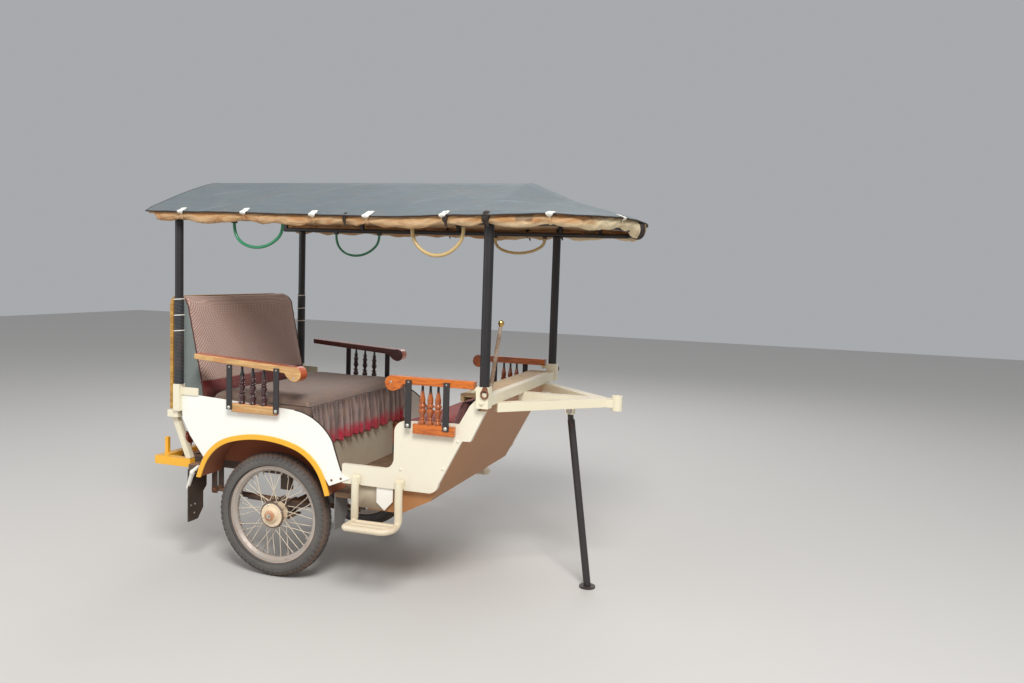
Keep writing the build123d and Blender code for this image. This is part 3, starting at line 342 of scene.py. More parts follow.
@dataclass(frozen=True)
class Paint:
    """Brushed paint on steel, with road dust, run stains and chips down to what is under it."""

    name: str
    color: Color
    faded: Color
    under: Color = RUST
    rough: float = 0.34
    coat: float = 0.25
    chips: float = 0.30
    stains: float = 0.35
    dust_top: float = 0.60
    dust: float = 0.55

    def make(self) -> bpy.types.Material:
        """Builds the paint."""
        tree = Tree(self.name)
        clouds = tree.noise(2.2, 5, 0.6)
        grain = tree.noise(46, 8, 0.72)
        runs = tree.noise(38, 6, 0.6, stretch=(1, 1, 0.07)).above(0.64, 0.08) * self.stains
        low = ((self.dust_top - tree.z) / self.dust_top).clamp()
        speckle = tree.noise(180, 3, 0.7)
        dirt = ((low * 1.25 + clouds * 0.7 - 0.45).clamp() * self.dust
                + tree.facing_up().above(0.7, 0.25) * clouds * self.dust * 0.5
                + speckle.above(0.66, 0.05) * 0.12).clamp()
        worn = tree.noise(13, 9, 0.74)
        chip = (worn * 0.72 + grain * 0.28).above(0.735 - 0.12 * self.chips, 0.008)
        color = tree.mix(clouds, self.color, self.faded)
        color = tree.mix(runs, color, tuple(0.62 * a + 0.38 * b for a, b in zip(self.faded, RED_DUST)))
        color = tree.mix(dirt, color, DUST)
        color = tree.mix(chip, color, self.under)
        rough = (self.rough + grain * 0.10 + dirt * 0.35 + chip * 0.35).clamp()
        peel = tree.noise(240, 2)
        return tree.finish(color, rough, coat=(1.0 - dirt - chip).clamp() * self.coat,
                           bumps=((peel, 0.0002), (1.0 - chip, 0.0004), (clouds, 0.002)), Coat_Roughness=0.12)


@dataclass(frozen=True)
class BlackSteel:
    """Black painted or bare steel that dust and rust have dulled."""

    name: str
    color: Color = srgb(44, 44, 46)
    rust: float = 0.35
    dust: float = 0.5
    rough: float = 0.5

    def make(self) -> bpy.types.Material:
        """Builds the steel."""
        tree = Tree(self.name)
        clouds = tree.noise(7, 7, 0.65)
        fine = tree.noise(90, 6, 0.7)
        rusty = (clouds * 0.6 + fine * 0.4).above(0.64 - 0.16 * self.rust, 0.03)
        settled = (tree.facing_up().above(0.4, 0.4) * 0.6 + clouds * 0.5).clamp() * self.dust
        color = tree.mix(fine, self.color, tuple(1.6 * c for c in self.color))
        color = tree.mix(rusty, color, RUST)
        color = tree.mix(settled, color, DUST)
        return tree.finish(color, (self.rough + fine * 0.2 + settled * 0.3).clamp(),
                           bumps=((fine, 0.0004), (rusty, 0.0003)))


@dataclass(frozen=True)
class Timber:
    """Varnished wood with grain along the carriage and the varnish worn off in patches."""

    name: str
    varnish: Color
    grain: Color
    bare: Color
    wear: float = 0.3
    rough: float = 0.28
    coat: float = 0.6

    def make(self) -> bpy.types.Material:
        """Builds the wood."""
        tree = Tree(self.name)
        figure = tree.noise(26, 6, 0.62, 1.2, stretch=(0.14, 1, 1))
        rings = ((figure * 34 + tree.noise(70, 4, 0.6, stretch=(0.08, 1, 1)) * 4).sine() * 0.5 + 0.5)
        pores = tree.noise(420, 3, 0.6, stretch=(0.05, 1, 1)).above(0.62, 0.05)
        patches = (tree.noise(11, 8, 0.7) * 0.75 + pores * 0.12).above(0.62 - 0.24 * self.wear, 0.05)
        color = tree.mix(rings * 0.75, self.varnish, self.grain)
        color = tree.mix(patches, color, self.bare)
        color = tree.mix(pores * 0.5, color, tuple(0.45 * c for c in self.grain))
        rough = (self.rough + patches * 0.4 + rings * 0.06).clamp()
        return tree.finish(color, rough, coat=(1.0 - patches) * self.coat,
                           bumps=((rings, 0.0002), (1.0 - pores, 0.0002), (1.0 - patches, 0.0003)),
                           Coat_Roughness=0.1)


@dataclass(frozen=True)
class RailWood:
    """An armrest rail: bare worn wood outside, orange varnish on top, and dark red painted shade on the inner faces.
    """

    name: str
    out: int
    worn: Color = srgb(212, 170, 112)
    grain: Color = srgb(166, 116, 66)
    top: Color = srgb(206, 92, 34)
    inner: Color = srgb(84, 30, 24)

    def make(self) -> bpy.types.Material:
        """Builds the wood."""
        tree = Tree(self.name)
        figure = tree.noise(24, 6, 0.62, 1.0, stretch=(0.12, 1, 1))
        rings = (figure * 30 + tree.noise(80, 4, 0.6, stretch=(0.08, 1, 1)) * 3).sine() * 0.5 + 0.5
        patches = tree.noise(12, 8, 0.72)
        facing = tree.facing_side() * float(self.out)
        outside = (facing + (patches - 0.5) * 0.35).above(0.55, 0.12)
        # Painted shade: faces turned in towards the seat are laid dark red.
        inside = (facing * -1.0).above(0.55, 0.12)
        bare = tree.mix(rings * 0.55, self.worn, self.grain)
        bare = tree.mix(patches.above(0.60, 0.07), bare, tuple(0.5 * a + 0.5 * b for a, b in zip(self.worn, self.top)))
        bare = tree.mix(patches.below(0.36, 0.05) * 0.6, bare, srgb(226, 200, 160))
        fresh = tree.mix(rings * 0.5, self.top, tuple(0.6 * c for c in self.top))
        color = tree.mix(inside, tree.mix(outside, fresh, bare), self.inner)
        pores = tree.noise(420, 3, 0.6, stretch=(0.05, 1, 1)).above(0.62, 0.05)
        color = tree.mix(pores * 0.45, color, tuple(0.4 * c for c in self.grain))
        return tree.finish(color, (0.24 + outside * 0.3 + rings * 0.05).clamp(),
                           coat=(1.0 - outside * 0.8).clamp() * 0.7,
                           bumps=((rings, 0.0002), (1.0 - pores, 0.0002)), Coat_Roughness=0.1)


@dataclass(frozen=True)
class TurnedWood:
    """Glossy turned spindles whose necks, just under the rail, are painted near-black as the rail's shade."""

    name: str
    color: Color
    shade: Color
    rail_shade: Color
    rail_shade_foot: float
    rail_shade_fade: float = 0.012

    def make(self) -> bpy.types.Material:
        """Builds the wood."""
        tree = Tree(self.name)
        grain = tree.noise(90, 6, 0.66, 0.8, stretch=(1, 1, 0.14))
        blotch = tree.noise(38, 5, 0.7)
        color = tree.mix(grain, self.color, self.shade)
        color = tree.mix(blotch.above(0.58, 0.08) * 0.5, color, tuple(0.6 * c for c in self.shade))
        # Painted shade under the rail: the necks turn near-black above a soft, uneven line.
        color = tree.mix((tree.z + (blotch - 0.5) * 0.03).above(self.rail_shade_foot, self.rail_shade_fade), color, self.rail_shade)
        return tree.finish(color, (0.16 + blotch * 0.12).clamp(), coat=0.8, bumps=((grain, 0.0002),),
                           Coat_Roughness=0.06)


@dataclass(frozen=True)
class SeatCloth:
    """Woven seat cloth with small figures in rows, rubbed and dusty where people sit."""

    name: str
    ground: Color
    figure: Color
    hem: Color
    hem_top: float = 0.0
    hem_fade: float = 0.01
    side: Optional[Color] = None
    pitch: float = 0.011
    # Painted fold light: where the skirt's folds lie furthest back and how deep they run, for painted highlights on
    # the ridges and painted shade in the valleys.
    fold_light: Optional[tuple[float, float]] = None

    def make(self) -> bpy.types.Material:
        """Builds the cloth."""
        tree = Tree(self.name)
        turn = 2 * math.pi / self.pitch
        rows = ((tree.y * turn).sine() * ((tree.x + tree.z) * turn).sine())
        dots = rows.above(0.18, 0.22)
        threads = tree.weave(0.0017)
        clouds = tree.noise(5, 5, 0.6)
        rubbed = tree.noise(17, 6, 0.65).above(0.56, 0.12)
        color = tree.mix(dots * 0.85, self.ground, self.figure)
        color = tree.mix(threads * 0.35, color, tuple(0.45 * c for c in self.ground))
        # Painted highlights: pale streaks on the fold ridges that stand furthest forward.
        if self.fold_light is not None:
            deep, reach = self.fold_light
            out = ((tree.x - deep) / reach).clamp()
            highlight_streaks = tree.noise(70, 5, 0.7, stretch=(1, 1, 0.08))
            color = tree.mix((out * 1.4 - 0.5 + (highlight_streaks - 0.5) * 2.2).clamp() * 0.45, color, srgb(206, 180, 172))
        fade = (self.hem_top - tree.z) / self.hem_fade + (tree.noise(24, 3) - 0.5) * 1.4
        color = tree.mix(fade.clamp(), color, tree.mix(threads, self.hem, tuple(0.55 * c for c in self.hem)))
        color = tree.mix((clouds * 0.45 * rubbed).clamp(), color, DUST)
        if self.side is not None:
            color = tree.mix(abs(tree.facing_side()).above(0.72, 0.08), color, self.side)
        # Painted shade: the fold valleys, lying furthest back, turn dark.
        if self.fold_light is not None:
            color = tree.mix((1.0 - out * 1.7).clamp() * 0.72, color, srgb(34, 20, 22))
        return tree.finish(color, (0.86 + clouds * 0.1).clamp(),
                           bumps=((threads, 0.0005), (dots, 0.0006), (clouds, 0.004)),
                           Sheen_Weight=0.25, Sheen_Roughness=0.45)


@dataclass(frozen=True)
class StripedCloth:
    """Cloth with upright stripes in two colours."""

    name: str
    ground: Color
    stripe: Color
    pitch: float = 0.034

    def make(self) -> bpy.types.Material:
        """Builds the cloth."""
        tree = Tree(self.name)
        turn = 2 * math.pi / self.pitch
        wide = (tree.y * turn).sine().above(0.25, 0.15)
        narrow = (tree.y * turn * 3).sine().above(0.80, 0.08)
        threads = tree.weave(0.0016)
        clouds = tree.noise(6, 5, 0.6)
        color = tree.mix(wide, self.ground, self.stripe)
        color = tree.mix(narrow * 0.5, color, tuple(0.5 * c + 0.10 for c in self.stripe))
        color = tree.mix(threads * 0.35, color, tuple(0.4 * c for c in self.ground))
        color = tree.mix(clouds * 0.22, color, DUST)
        return tree.finish(color, 0.85, bumps=((threads, 0.0005), (clouds, 0.003)),
                           Sheen_Weight=0.2, Sheen_Roughness=0.5)


@dataclass(frozen=True)
class Tarpaulin:
    """Coated canvas with a fine weave, creases, sun bleaching and dust in the hollows."""

    name: str
    color: Color
    bleached: Color
    rough: float = 0.62
    creases: float = 1.0
    dust: float = 0.3
    worn: float = 0.0

    def make(self) -> bpy.types.Material:
        """Builds the canvas."""
        tree = Tree(self.name)
        clouds = tree.noise(1.7, 5, 0.6)
        stains = tree.noise(9, 7, 0.66)
        threads = tree.weave(0.0022)
        crease = 1.0 - abs(tree.noise(7, 3, 0.5, 0.8, stretch=(0.5, 1, 1)) - 0.5) * 9
        spots = tree.noise(55, 4, 0.7).above(0.665, 0.015) * stains.above(0.50, 0.06)
        lines = ((tree.x * 0.75 - tree.y) * 21 + tree.noise(1.6, 2) * 4).sine().above(0.990, 0.009)
        scratches = (lines * tree.noise(7, 3).above(0.55, 0.05)).clamp() * self.worn
        color = tree.mix(clouds * 0.8, self.color, self.bleached)
        color = tree.mix((stains.above(0.58, 0.12) * self.dust).clamp(), color, DUST)
        color = tree.mix(crease.clamp() * 0.22 * self.creases, color, self.bleached)
        pale = tuple(min(1.0, c * 1.7 + 0.06) for c in self.bleached)
        color = tree.mix((spots * 0.6 + scratches * 0.22).clamp(), color, pale)
        color = tree.mix(threads * 0.18, color, tuple(0.6 * c for c in self.color))
        return tree.finish(color, (self.rough + stains * 0.15).clamp(),
                           bumps=((threads, 0.0003), (crease.clamp(), 0.0015 * self.creases),
                                  (tree.noise(3.4, 4, 0.5), 0.010 * self.creases)))


@dataclass(frozen=True)
class CurtainCloth:
    """Thin canvas of the rolled curtains: tan above, with painted light making it paler along the lower edge and a
    painted highlight on the front nose.
    """

    name: str = "tan_curtain"
    color: Color = srgb(200, 146, 92)
    # pale is the colour of the painted light; low and nose mark where it starts.
    pale: Color = srgb(228, 210, 172)
    patch: Color = srgb(92, 72, 60)
    low: float = 1.667
    nose: float = 1.000
    worn_spot: tuple[float, float] = (0.722, 0.035)

    def make(self) -> bpy.types.Material:
        """Builds the canvas."""
        tree = Tree(self.name)
        clouds = tree.noise(5, 5, 0.6)
        stains = tree.noise(19, 7, 0.7)
        threads = tree.weave(0.0019)
        crease = 1.0 - abs(tree.noise(16, 3, 0.5, 0.8, stretch=(0.4, 1, 1)) - 0.5) * 8
        level = tree.z + (clouds - 0.5) * 0.02
        front = (tree.x + (clouds - 0.5) * 0.2).above(0.45, 0.35)
        color = tree.mix(clouds, self.color, tuple(0.62 * c for c in self.color))
        # Painted light: the lower edge turns pale, more so towards the front, and the nose is laid pale as a painted
        # highlight.
        color = tree.mix((level.below(self.low, 0.009) * (0.12 + front * 0.70)).clamp(), color, self.pale)
        color = tree.mix(tree.x.above(self.nose, 0.02), color, self.pale)
        spot, reach = self.worn_spot
        worn = (abs(tree.x - spot) - reach + (stains - 0.5) * 0.08).below(0.0, 0.006)
        color = tree.mix((worn * level.above(1.672, 0.004)).clamp() * 0.8, color, self.patch)
        color = tree.mix(stains.above(0.60, 0.08) * 0.45, color, RED_DUST)
        color = tree.mix(crease.clamp() * 0.3, color, self.pale)
        color = tree.mix(threads * 0.15, color, tuple(0.6 * c for c in self.color))
        return tree.finish(color, (0.78 + stains * 0.12).clamp(),
                           bumps=((threads, 0.0003), (crease.clamp(), 0.002), (clouds, 0.004)))


@dataclass(frozen=True)
class TyreRubber:
    """Tyre rubber, grey with age, with pale dust on the wall and red dust in the tread."""

    name: str = "tyre_rubber"
    color: Color = srgb(72, 70, 69)
    wall: Color = srgb(132, 125, 118)
    tread: Color = srgb(126, 100, 82)
    tread_radius: float = 0.279

    def make(self) -> bpy.types.Material:
        """Builds the rubber."""
        tree = Tree(self.name)
        reach = ((tree.x - AXLE_X) ** 2.0 + (tree.z - AXLE_Z) ** 2.0) ** 0.5
        clouds = tree.noise(11, 6, 0.62)
        fine = tree.noise(150, 5, 0.7)
        rings = ((reach * 2 * math.pi / 0.0062).sine() * 0.5 + 0.5) * reach.below(0.27, 0.004)
        wall_dust = (clouds * 0.9 + fine * 0.25 - 0.28).clamp() * reach.below(self.tread_radius, 0.008)
        tread_dust = ((0.2965 - reach) / 0.010).clamp() * reach.above(self.tread_radius, 0.006)
        color = tree.mix(fine * 0.5, self.color, tuple(0.6 * c for c in self.color))
        color = tree.mix((wall_dust * 0.75 + (1.0 - rings) * reach.below(0.27, 0.004) * 0.22).clamp(), color,
                         self.wall)
        color = tree.mix((tread_dust * (clouds + 0.35)).clamp() * 0.75, color, self.tread)
        return tree.finish(color, (0.72 + fine * 0.2).clamp(),
                           bumps=((rings, 0.0009), (fine, 0.0004), (clouds, 0.0008)))


@dataclass(frozen=True)
class WireWheelMetal:
    """One wheel's hub, spokes and rim: cream hub with a rusty middle, pale spokes, a dusty rim."""

    name: str = "wheel_metal"
    hub: Color = srgb(234, 214, 182)
    middle: Color = srgb(186, 124, 84)
    flange: Color = srgb(92, 78, 68)
    spoke: Color = srgb(232, 218, 194)
    rim: Color = srgb(236, 210, 190)
    well: Color = srgb(186, 180, 172)
    hub_edge: float = 0.055
    flange_edge: float = 0.066
    rim_edge: float = 0.204
    lip_edge: float = 0.2275

    def make(self) -> bpy.types.Material:
        """Builds the metal."""
        tree = Tree(self.name)
        reach = ((tree.x - AXLE_X) ** 2.0 + (tree.z - AXLE_Z) ** 2.0) ** 0.5
        hub = reach.below(self.flange_edge, 0.0006)
        rim = reach.above(self.rim_edge, 0.0006)
        clouds = tree.noise(16, 7, 0.66)
        fine = tree.noise(210, 5, 0.72)
        rusty = (clouds * 0.55 + fine * 0.45).above(0.60, 0.04)
        dusty = (clouds * 1.3 - 0.30).clamp()
        plated = tree.mix(reach.above(self.lip_edge, 0.0008), self.well, self.rim)
        disc = tree.mix((fine * 0.3 + clouds * 0.9).above(0.50, 0.2) * reach.below(0.028, 0.004), self.hub,
                        self.middle)
        disc = tree.mix(reach.above(self.hub_edge, 0.0008), disc, self.flange)
        color = tree.mix(hub, tree.mix(rim, self.spoke, plated), disc)
        color = tree.mix(rusty * (1.0 - hub * 0.7) * (0.35 + rim * 0.5), color, RUST)
        color = tree.mix(dusty * (0.30 + rim * 0.25), color, DUST)
        metal = ((1.0 - hub) * (1.0 - dusty * 0.8) * (1.0 - rusty)).clamp() * (0.25 + rim * 0.10)
        rough = (0.30 + dusty * 0.35 + rusty * 0.3 + hub * 0.1).clamp()
        return tree.finish(color, rough, metal, bumps=((fine, 0.0002), (rusty, 0.0003)))


@dataclass(frozen=True)
class Plain:
    """A small part's finish: one material with fine unevenness and a little dust."""

    name: str
    color: Color
    rough: float = 0.45
    metal: float = 0.0
    dust: float = 0.25
    coat: float = 0.0
    dent: float = 0.0003
    scale: float = 120

    def make(self) -> bpy.types.Material:
        """Builds the finish."""
        tree = Tree(self.name)
        clouds = tree.noise(self.scale / 8, 5, 0.65)
        fine = tree.noise(self.scale, 5, 0.68)
        dusty = (clouds * 1.2 - 0.25).clamp() * self.dust
        color = tree.mix(fine * 0.6, self.color, tuple(0.62 * c for c in self.color))
        color = tree.mix(dusty, color, DUST)
        metal = (1.0 - dusty) * self.metal
        return tree.finish(color, (self.rough + dusty * 0.4 + fine * 0.12).clamp(), metal, self.coat,
                           bumps=((fine, self.dent),))


@dataclass(frozen=True)
class WoundTape:
    """Black tape wound up a post, each turn lapping the last."""

    name: str = "wound_tape"
    color: Color = srgb(38, 42, 46)
    turn: float = 0.017

    def make(self) -> bpy.types.Material:
        """Builds the tape."""
        tree = Tree(self.name)
        ramp = ((tree.z + tree.y * 0.25 + tree.x * 0.18) * 2 * math.pi / self.turn).sine() * 0.5 + 0.5
        laps = ramp.above(0.93, 0.05)
        fine = tree.noise(130, 5, 0.7)
        clouds = tree.noise(12, 5, 0.6)
        color = tree.mix(fine * 0.5, self.color, tuple(1.9 * c for c in self.color))
        color = tree.mix(laps * 0.12, color, DUST)
        color = tree.mix((clouds - 0.45).clamp() * 0.3, color, DUST)
        return tree.finish(color, (0.38 + fine * 0.25).clamp(), bumps=((1.0 - laps, 0.0006), (ramp, 0.0007)))


@dataclass(frozen=True)
class StaffWood:
    """A weathered staff with a brass ball on top."""

    name: str = "staff_wood"
    wood: Color = srgb(150, 122, 100)
    brass: Color = srgb(205, 165, 95)
    ball_foot: float = 1.2405

    def make(self) -> bpy.types.Material:
        """Builds the wood and brass."""
        tree = Tree(self.name)
        ball = tree.z.above(self.ball_foot, 0.0008)
        grain = tree.noise(90, 6, 0.66, 0.6, stretch=(1, 1, 0.08))
        worn = tree.noise(22, 6, 0.7).above(0.52, 0.1)
        color = tree.mix(grain, self.wood, tuple(0.45 * c for c in self.wood))
        color = tree.mix(worn * 0.6, color, srgb(178, 160, 142))
        color = tree.mix(ball, color, self.brass)
        return tree.finish(color, (0.75 - ball * 0.5 + grain * 0.1).clamp(), ball * 0.95,
                           bumps=((grain * (1.0 - ball), 0.0005),))


class Palette:
    """The carriage's finishes, each built once."""

    white = Paint("white_body_paint", srgb(250, 250, 243), srgb(242, 240, 228), chips=0.1, stains=0.10,
                  dust=0.40, dust_top=0.66)
    panel = Paint("cream_panel_paint", srgb(238, 231, 212), srgb(226, 216, 192), chips=0.25, stains=0.12,
                  under=srgb(214, 206, 190), dust=0.35)
    cream = Paint("cream_frame_paint", srgb(240, 233, 210), srgb(226, 214, 182), chips=0.75, stains=0.20,
                  under=srgb(112, 86, 66), dust=0.5)
    plate = Paint("footwell_plate_paint", srgb(206, 196, 174), srgb(178, 164, 140), chips=0.5, stains=0.5,
                  under=srgb(120, 84, 58), rough=0.5, coat=0.1, dust=0.6)
    yellow = Paint("yellow_trim_paint", srgb(250, 188, 40), srgb(240, 172, 40), chips=0.45, stains=0.2,
                   under=srgb(214, 206, 190), dust=0.35, rough=0.3, coat=0.4)
    # Painted shade: the belly apron's tan stands for its cream paint in shade, warmed by light thrown up from the
    # ground.
    tan = Paint("painted_shade_apron_paint", srgb(182, 124, 72), srgb(158, 106, 60), chips=0.15, stains=0.12,
                under=srgb(86, 58, 40), rough=0.5, coat=0.1, dust=0.3)
    liner = Paint("liner_paint", srgb(164, 76, 40), srgb(112, 62, 40), chips=0.8, stains=0.5,
                  under=srgb(64, 40, 28), rough=0.75, coat=0.0, dust=0.6, dust_top=0.9)
    kick = Paint("kick_board_paint", srgb(214, 205, 184), srgb(186, 175, 152), chips=0.2, stains=0.2,
                 under=srgb(112, 98, 82), rough=0.5, coat=0.1, dust=0.5, dust_top=0.75)
    chassis = BlackSteel("chassis_steel", rust=0.55, dust=0.75)
    black = BlackSteel("black_bar_steel", srgb(32, 34, 37), rust=0.05, dust=0.12, rough=0.38)
    rusty = BlackSteel("rusty_steel", srgb(98, 58, 40), rust=1.0, dust=0.5, rough=0.8)
    post = BlackSteel("post_steel", srgb(25, 26, 29), rust=0.0, dust=0.06, rough=0.34)
    orange = Timber("orange_armrest_wood", srgb(212, 112, 28), srgb(150, 66, 14), srgb(228, 156, 80), 0.12)
    worn = Timber("worn_armrest_wood", srgb(206, 140, 66), srgb(150, 88, 36), srgb(214, 184, 146), 0.85,
                  rough=0.42, coat=0.25)
    # Each rail's inner faces carry dark red painted shade.
    rail_right = RailWood("worn_rail_wood_right", Side.RIGHT.value)
    rail_left = RailWood("worn_rail_wood_left", Side.LEFT.value)
    # Each spindle wood's near-black colour and the height after it give the painted shade under the rail.
    rear_spindle = TurnedWood("dark_spindle_wood", srgb(74, 30, 30), srgb(44, 18, 20), srgb(14, 12, 14), 0.955)
    front_spindle = TurnedWood("brown_spindle_wood", srgb(196, 104, 40), srgb(134, 62, 24),
                               srgb(22, 16, 16), 0.948)
    board = Timber("plain_board", srgb(206, 178, 134), srgb(168, 134, 92), srgb(196, 182, 156), 0.5,
                   rough=0.6, coat=0.05)
    ochre_board = Timber("ochre_board", srgb(206, 158, 74), srgb(160, 112, 50), srgb(150, 140, 118), 0.35,
                         rough=0.6, coat=0.05)
    floor_board = Timber("floor_board", srgb(120, 92, 66), srgb(84, 62, 44), srgb(150, 128, 102), 0.6,
                         rough=0.75, coat=0.0)
    seat = SeatCloth("seat_cloth", srgb(146, 124, 110), srgb(84, 64, 56), srgb(140, 44, 48), 0.0, 0.01)
    seat_back = SeatCloth("seat_back_cloth", srgb(212, 180, 166), srgb(104, 72, 66), srgb(128, 34, 36),
                          0.902, 0.008, side=srgb(122, 130, 126), pitch=0.013)
    # The skirt cloth carries painted highlights on its fold ridges and painted shade in its fold valleys.
    skirt = SeatCloth("skirt_cloth", srgb(126, 104, 96), srgb(76, 60, 60), srgb(200, 50, 72), 0.712, 0.046,
                      fold_light=(-0.2975, 0.022))
    bench = StripedCloth("bench_cloth", srgb(74, 26, 34), srgb(112, 48, 56))
    bench_seat = StripedCloth("bench_seat_cloth", srgb(160, 26, 32), srgb(120, 20, 28), 0.05)
    tarp = Tarpaulin("grey_tarpaulin", srgb(94, 103, 107), srgb(120, 130, 133), creases=1.0, dust=0.10, worn=1.0)
    lining = Tarpaulin("tan_lining", srgb(206, 168, 126), srgb(226, 196, 158), rough=0.8, dust=0.35)
    roll = CurtainCloth()
    hem_tape = Plain("hem_tape", srgb(32, 31, 32), 0.7, dust=0.15, scale=160)
    tie = Tarpaulin("white_tie_cloth", srgb(236, 232, 220), srgb(250, 248, 240), rough=0.85, creases=1.0,
                    dust=0.1)
    rubber = TyreRubber()
    wheel = WireWheelMetal()
    flap = Plain("flap_rubber", srgb(42, 38, 35), 0.62, dust=0.25, scale=60, dent=0.0006)
    grey_flap = Plain("grey_flap_rubber", srgb(104, 108, 108), 0.5, dust=0.3, scale=50, dent=0.0006)
    edging = Plain("black_edge_strip", srgb(34, 34, 34), 0.55, dust=0.3)
    zinc = Plain("zinc_bolts", srgb(196, 192, 184), 0.34, 0.9, dust=0.35, scale=300)
    bright = Plain("bright_bolt", srgb(236, 232, 220), 0.2, 1.0, dust=0.1, scale=300)
    green_hose = Plain("green_hose", srgb(22, 132, 88), 0.3, dust=0.06, coat=0.35)
    beige_hose = Plain("beige_hose", srgb(206, 178, 122), 0.34, dust=0.12, coat=0.25)
    strap = Plain("black_strap", srgb(26, 26, 28), 0.7, dust=0.2)
    lamp = Plain("lamp_lens", srgb(120, 20, 16), 0.2, dust=0.25, coat=0.5)
    tape = WoundTape()
    staff = StaffWood()

    def __init__(self) -> None:
        """Starts with no finish built."""
        self._made: dict[str, bpy.types.Material] = {}

    def __getitem__(self, name: str) -> bpy.types.Material:
        """Gives the material of the finish with that field name, built on first use."""
        if name not in self._made:
            self._made[name] = getattr(type(self), name).make()
        return self._made[name]


class Form:
    """Points and faces gathered for one mesh piece."""

    def __init__(self) -> None:
        """Starts empty."""
        self.points: list[Vector] = []
        self.faces: list[tuple[int, ...]] = []

    def grid(self, rows: Sequence[Sequence[Vector]], around: bool = False, closed: bool = False,
             flip: bool = False) -> "Form":
        """Adds a sheet of quads over rows of points.

        Args:
            rows: Rows of equally many points.
            around: Whether each row closes on itself.
            closed: Whether the last row joins the first.
            flip: Whether the faces look the other way.

        Returns:
            This form.
        """
        base = len(self.points)
        wide = len(rows[0])
        for row in rows:
            self.points.extend(row)
        for i in range(len(rows) if closed else len(rows) - 1):
            for j in range(wide if around else wide - 1):
                a = base + i * wide + j
                b = base + i * wide + (j + 1) % wide
                c = base + (i + 1) % len(rows) * wide + (j + 1) % wide
                d = base + (i + 1) % len(rows) * wide + j
                self.faces.append((d, c, b, a) if flip else (a, b, c, d))
        return self

    def cap(self, ring: Sequence[Vector], flip: bool = False) -> "Form":
        """Closes a ring of points with one face."""
        base = len(self.points)
        self.points.extend(ring)
        order = tuple(range(base, base + len(ring)))
        self.faces.append(order[::-1] if flip else order)
        return self

    def lathe(self, profile: Profile, centre: Vector, axis: Vector, steps: int) -> "Form":
        """Turns a profile about an axis.

        Args:
            profile: Distances along the axis and out from it, in metres.
            centre: A point on the axis.
            axis: The axis.
            steps: Steps round the turn.

        Returns:
            This form.
        """
        out, other = frame_of(axis)
        rows = []
        for i in range(steps):
            turn = 2 * math.pi * i / steps
            ray = out * math.cos(turn) + other * math.sin(turn)
            rows.append([centre + axis * s + ray * r for s, r in profile])
        return self.grid(rows, closed=True)

    def tube(self, path: Sequence[Vector], radius: Union[float, Sequence[float]], sides: int = 10,
             squash: float = 1.0) -> "Form":
        """Adds a round or flattened tube along a path, with closed ends.

        Args:
            path: The points of its middle line.
            radius: Its radius, one or one for each point.
            sides: Corners of its section.
            squash: Its thickness as a share of its width.

        Returns:
            This form.
        """
        radii = [radius] * len(path) if isinstance(radius, float) else list(radius)
        rows = []
        out: Optional[Vector] = None
        for i, point in enumerate(path):
            way = (path[min(i + 1, len(path) - 1)] - path[max(i - 1, 0)]).normalized()
            if out is None:
                out, _ = frame_of(way)
            out = (out - way * out.dot(way)).normalized()
            other = way.cross(out)
            rows.append([point + (out * math.cos(t) + other * math.sin(t) * squash) * radii[i]
                         for t in (2 * math.pi * k / sides for k in range(sides))])
        self.grid(rows, around=True)
        return self.cap(rows[0], flip=True).cap(rows[-1])

    def block(self, low: Vector, high: Vector) -> "Form":
        """Adds a box between two corners."""
        return self.hull_of([Vector((low[0] if i & 1 else high[0], low[1] if i & 2 else high[1],
                                     low[2] if i & 4 else high[2])) for i in range(8)])

    def hull_of(self, corners: Sequence[Vector]) -> "Form":
        """Adds a six-sided block from eight corners in counting order."""
        base = len(self.points)
        self.points.extend(corners)
        for face in ((0, 1, 3, 2), (4, 6, 7, 5), (0, 4, 5, 1), (2, 3, 7, 6), (0, 2, 6, 4), (1, 5, 7, 3)):
            self.faces.append(tuple(base + i for i in face))
        return self

    def bolt(self, seat: Vector, axis: Vector, width: float = 0.013, high: float = 0.006) -> "Form":
        """Adds a hexagon bolt head on a round washer, seated at a point."""
        self.lathe(((0.0, 0.0), (0.0, width * 0.85), (0.0012, width * 0.85), (0.0012, 0.0)), seat, axis, 20)
        out, other = frame_of(axis)
        rings = []
        for s, r in ((0.001, 0.5), (high * 0.8, 0.5), (high, 0.42)):
            rings.append([seat + axis * s + (out * math.cos(t) + other * math.sin(t)) * r * width
                          for t in (math.pi * k / 3 for k in range(6))])
        self.grid(rings, around=True)
        return self.cap(rings[-1])

    def dome(self, seat: Vector, axis: Vector, radius: float = 0.006, high: float = 0.003) -> "Form":
        """Adds a round rivet or screw head, seated at a point."""
        profile = [(high * math.cos(t), radius * math.sin(t)) for t in (math.pi / 10 * k for k in range(6))]
        return self.lathe(profile[::-1], seat, axis, 16)

    def piece(self, name: str, smooth: float = 40.0) -> bpy.types.Object:
        """Makes the object.

        Args:
            name: The piece's name.
            smooth: The edge angle in degrees up to which it is shaded smooth.

        Returns:
            The object, linked to the scene.
        """
        mesh = bpy.data.meshes.new(name)
        mesh.from_pydata([tuple(p) for p in self.points], [], self.faces)
        mesh.update()
        mesh.polygons.foreach_set("use_smooth", [True] * len(mesh.polygons))
        mesh.set_sharp_from_angle(angle=math.radians(smooth))
        made = bpy.data.objects.new(name, mesh)
        bpy.context.scene.collection.objects.link(made)
        return made


def frame_of(axis: Vector) -> tuple[Vector, Vector]:
    """Gives two directions square to an axis and to each other."""
    helper = Vector((0, 0, 1)) if abs(axis.normalized().z) < 0.9 else Vector((1, 0, 0))
    out = axis.cross(helper).normalized()
    return out, axis.normalized().cross(out)


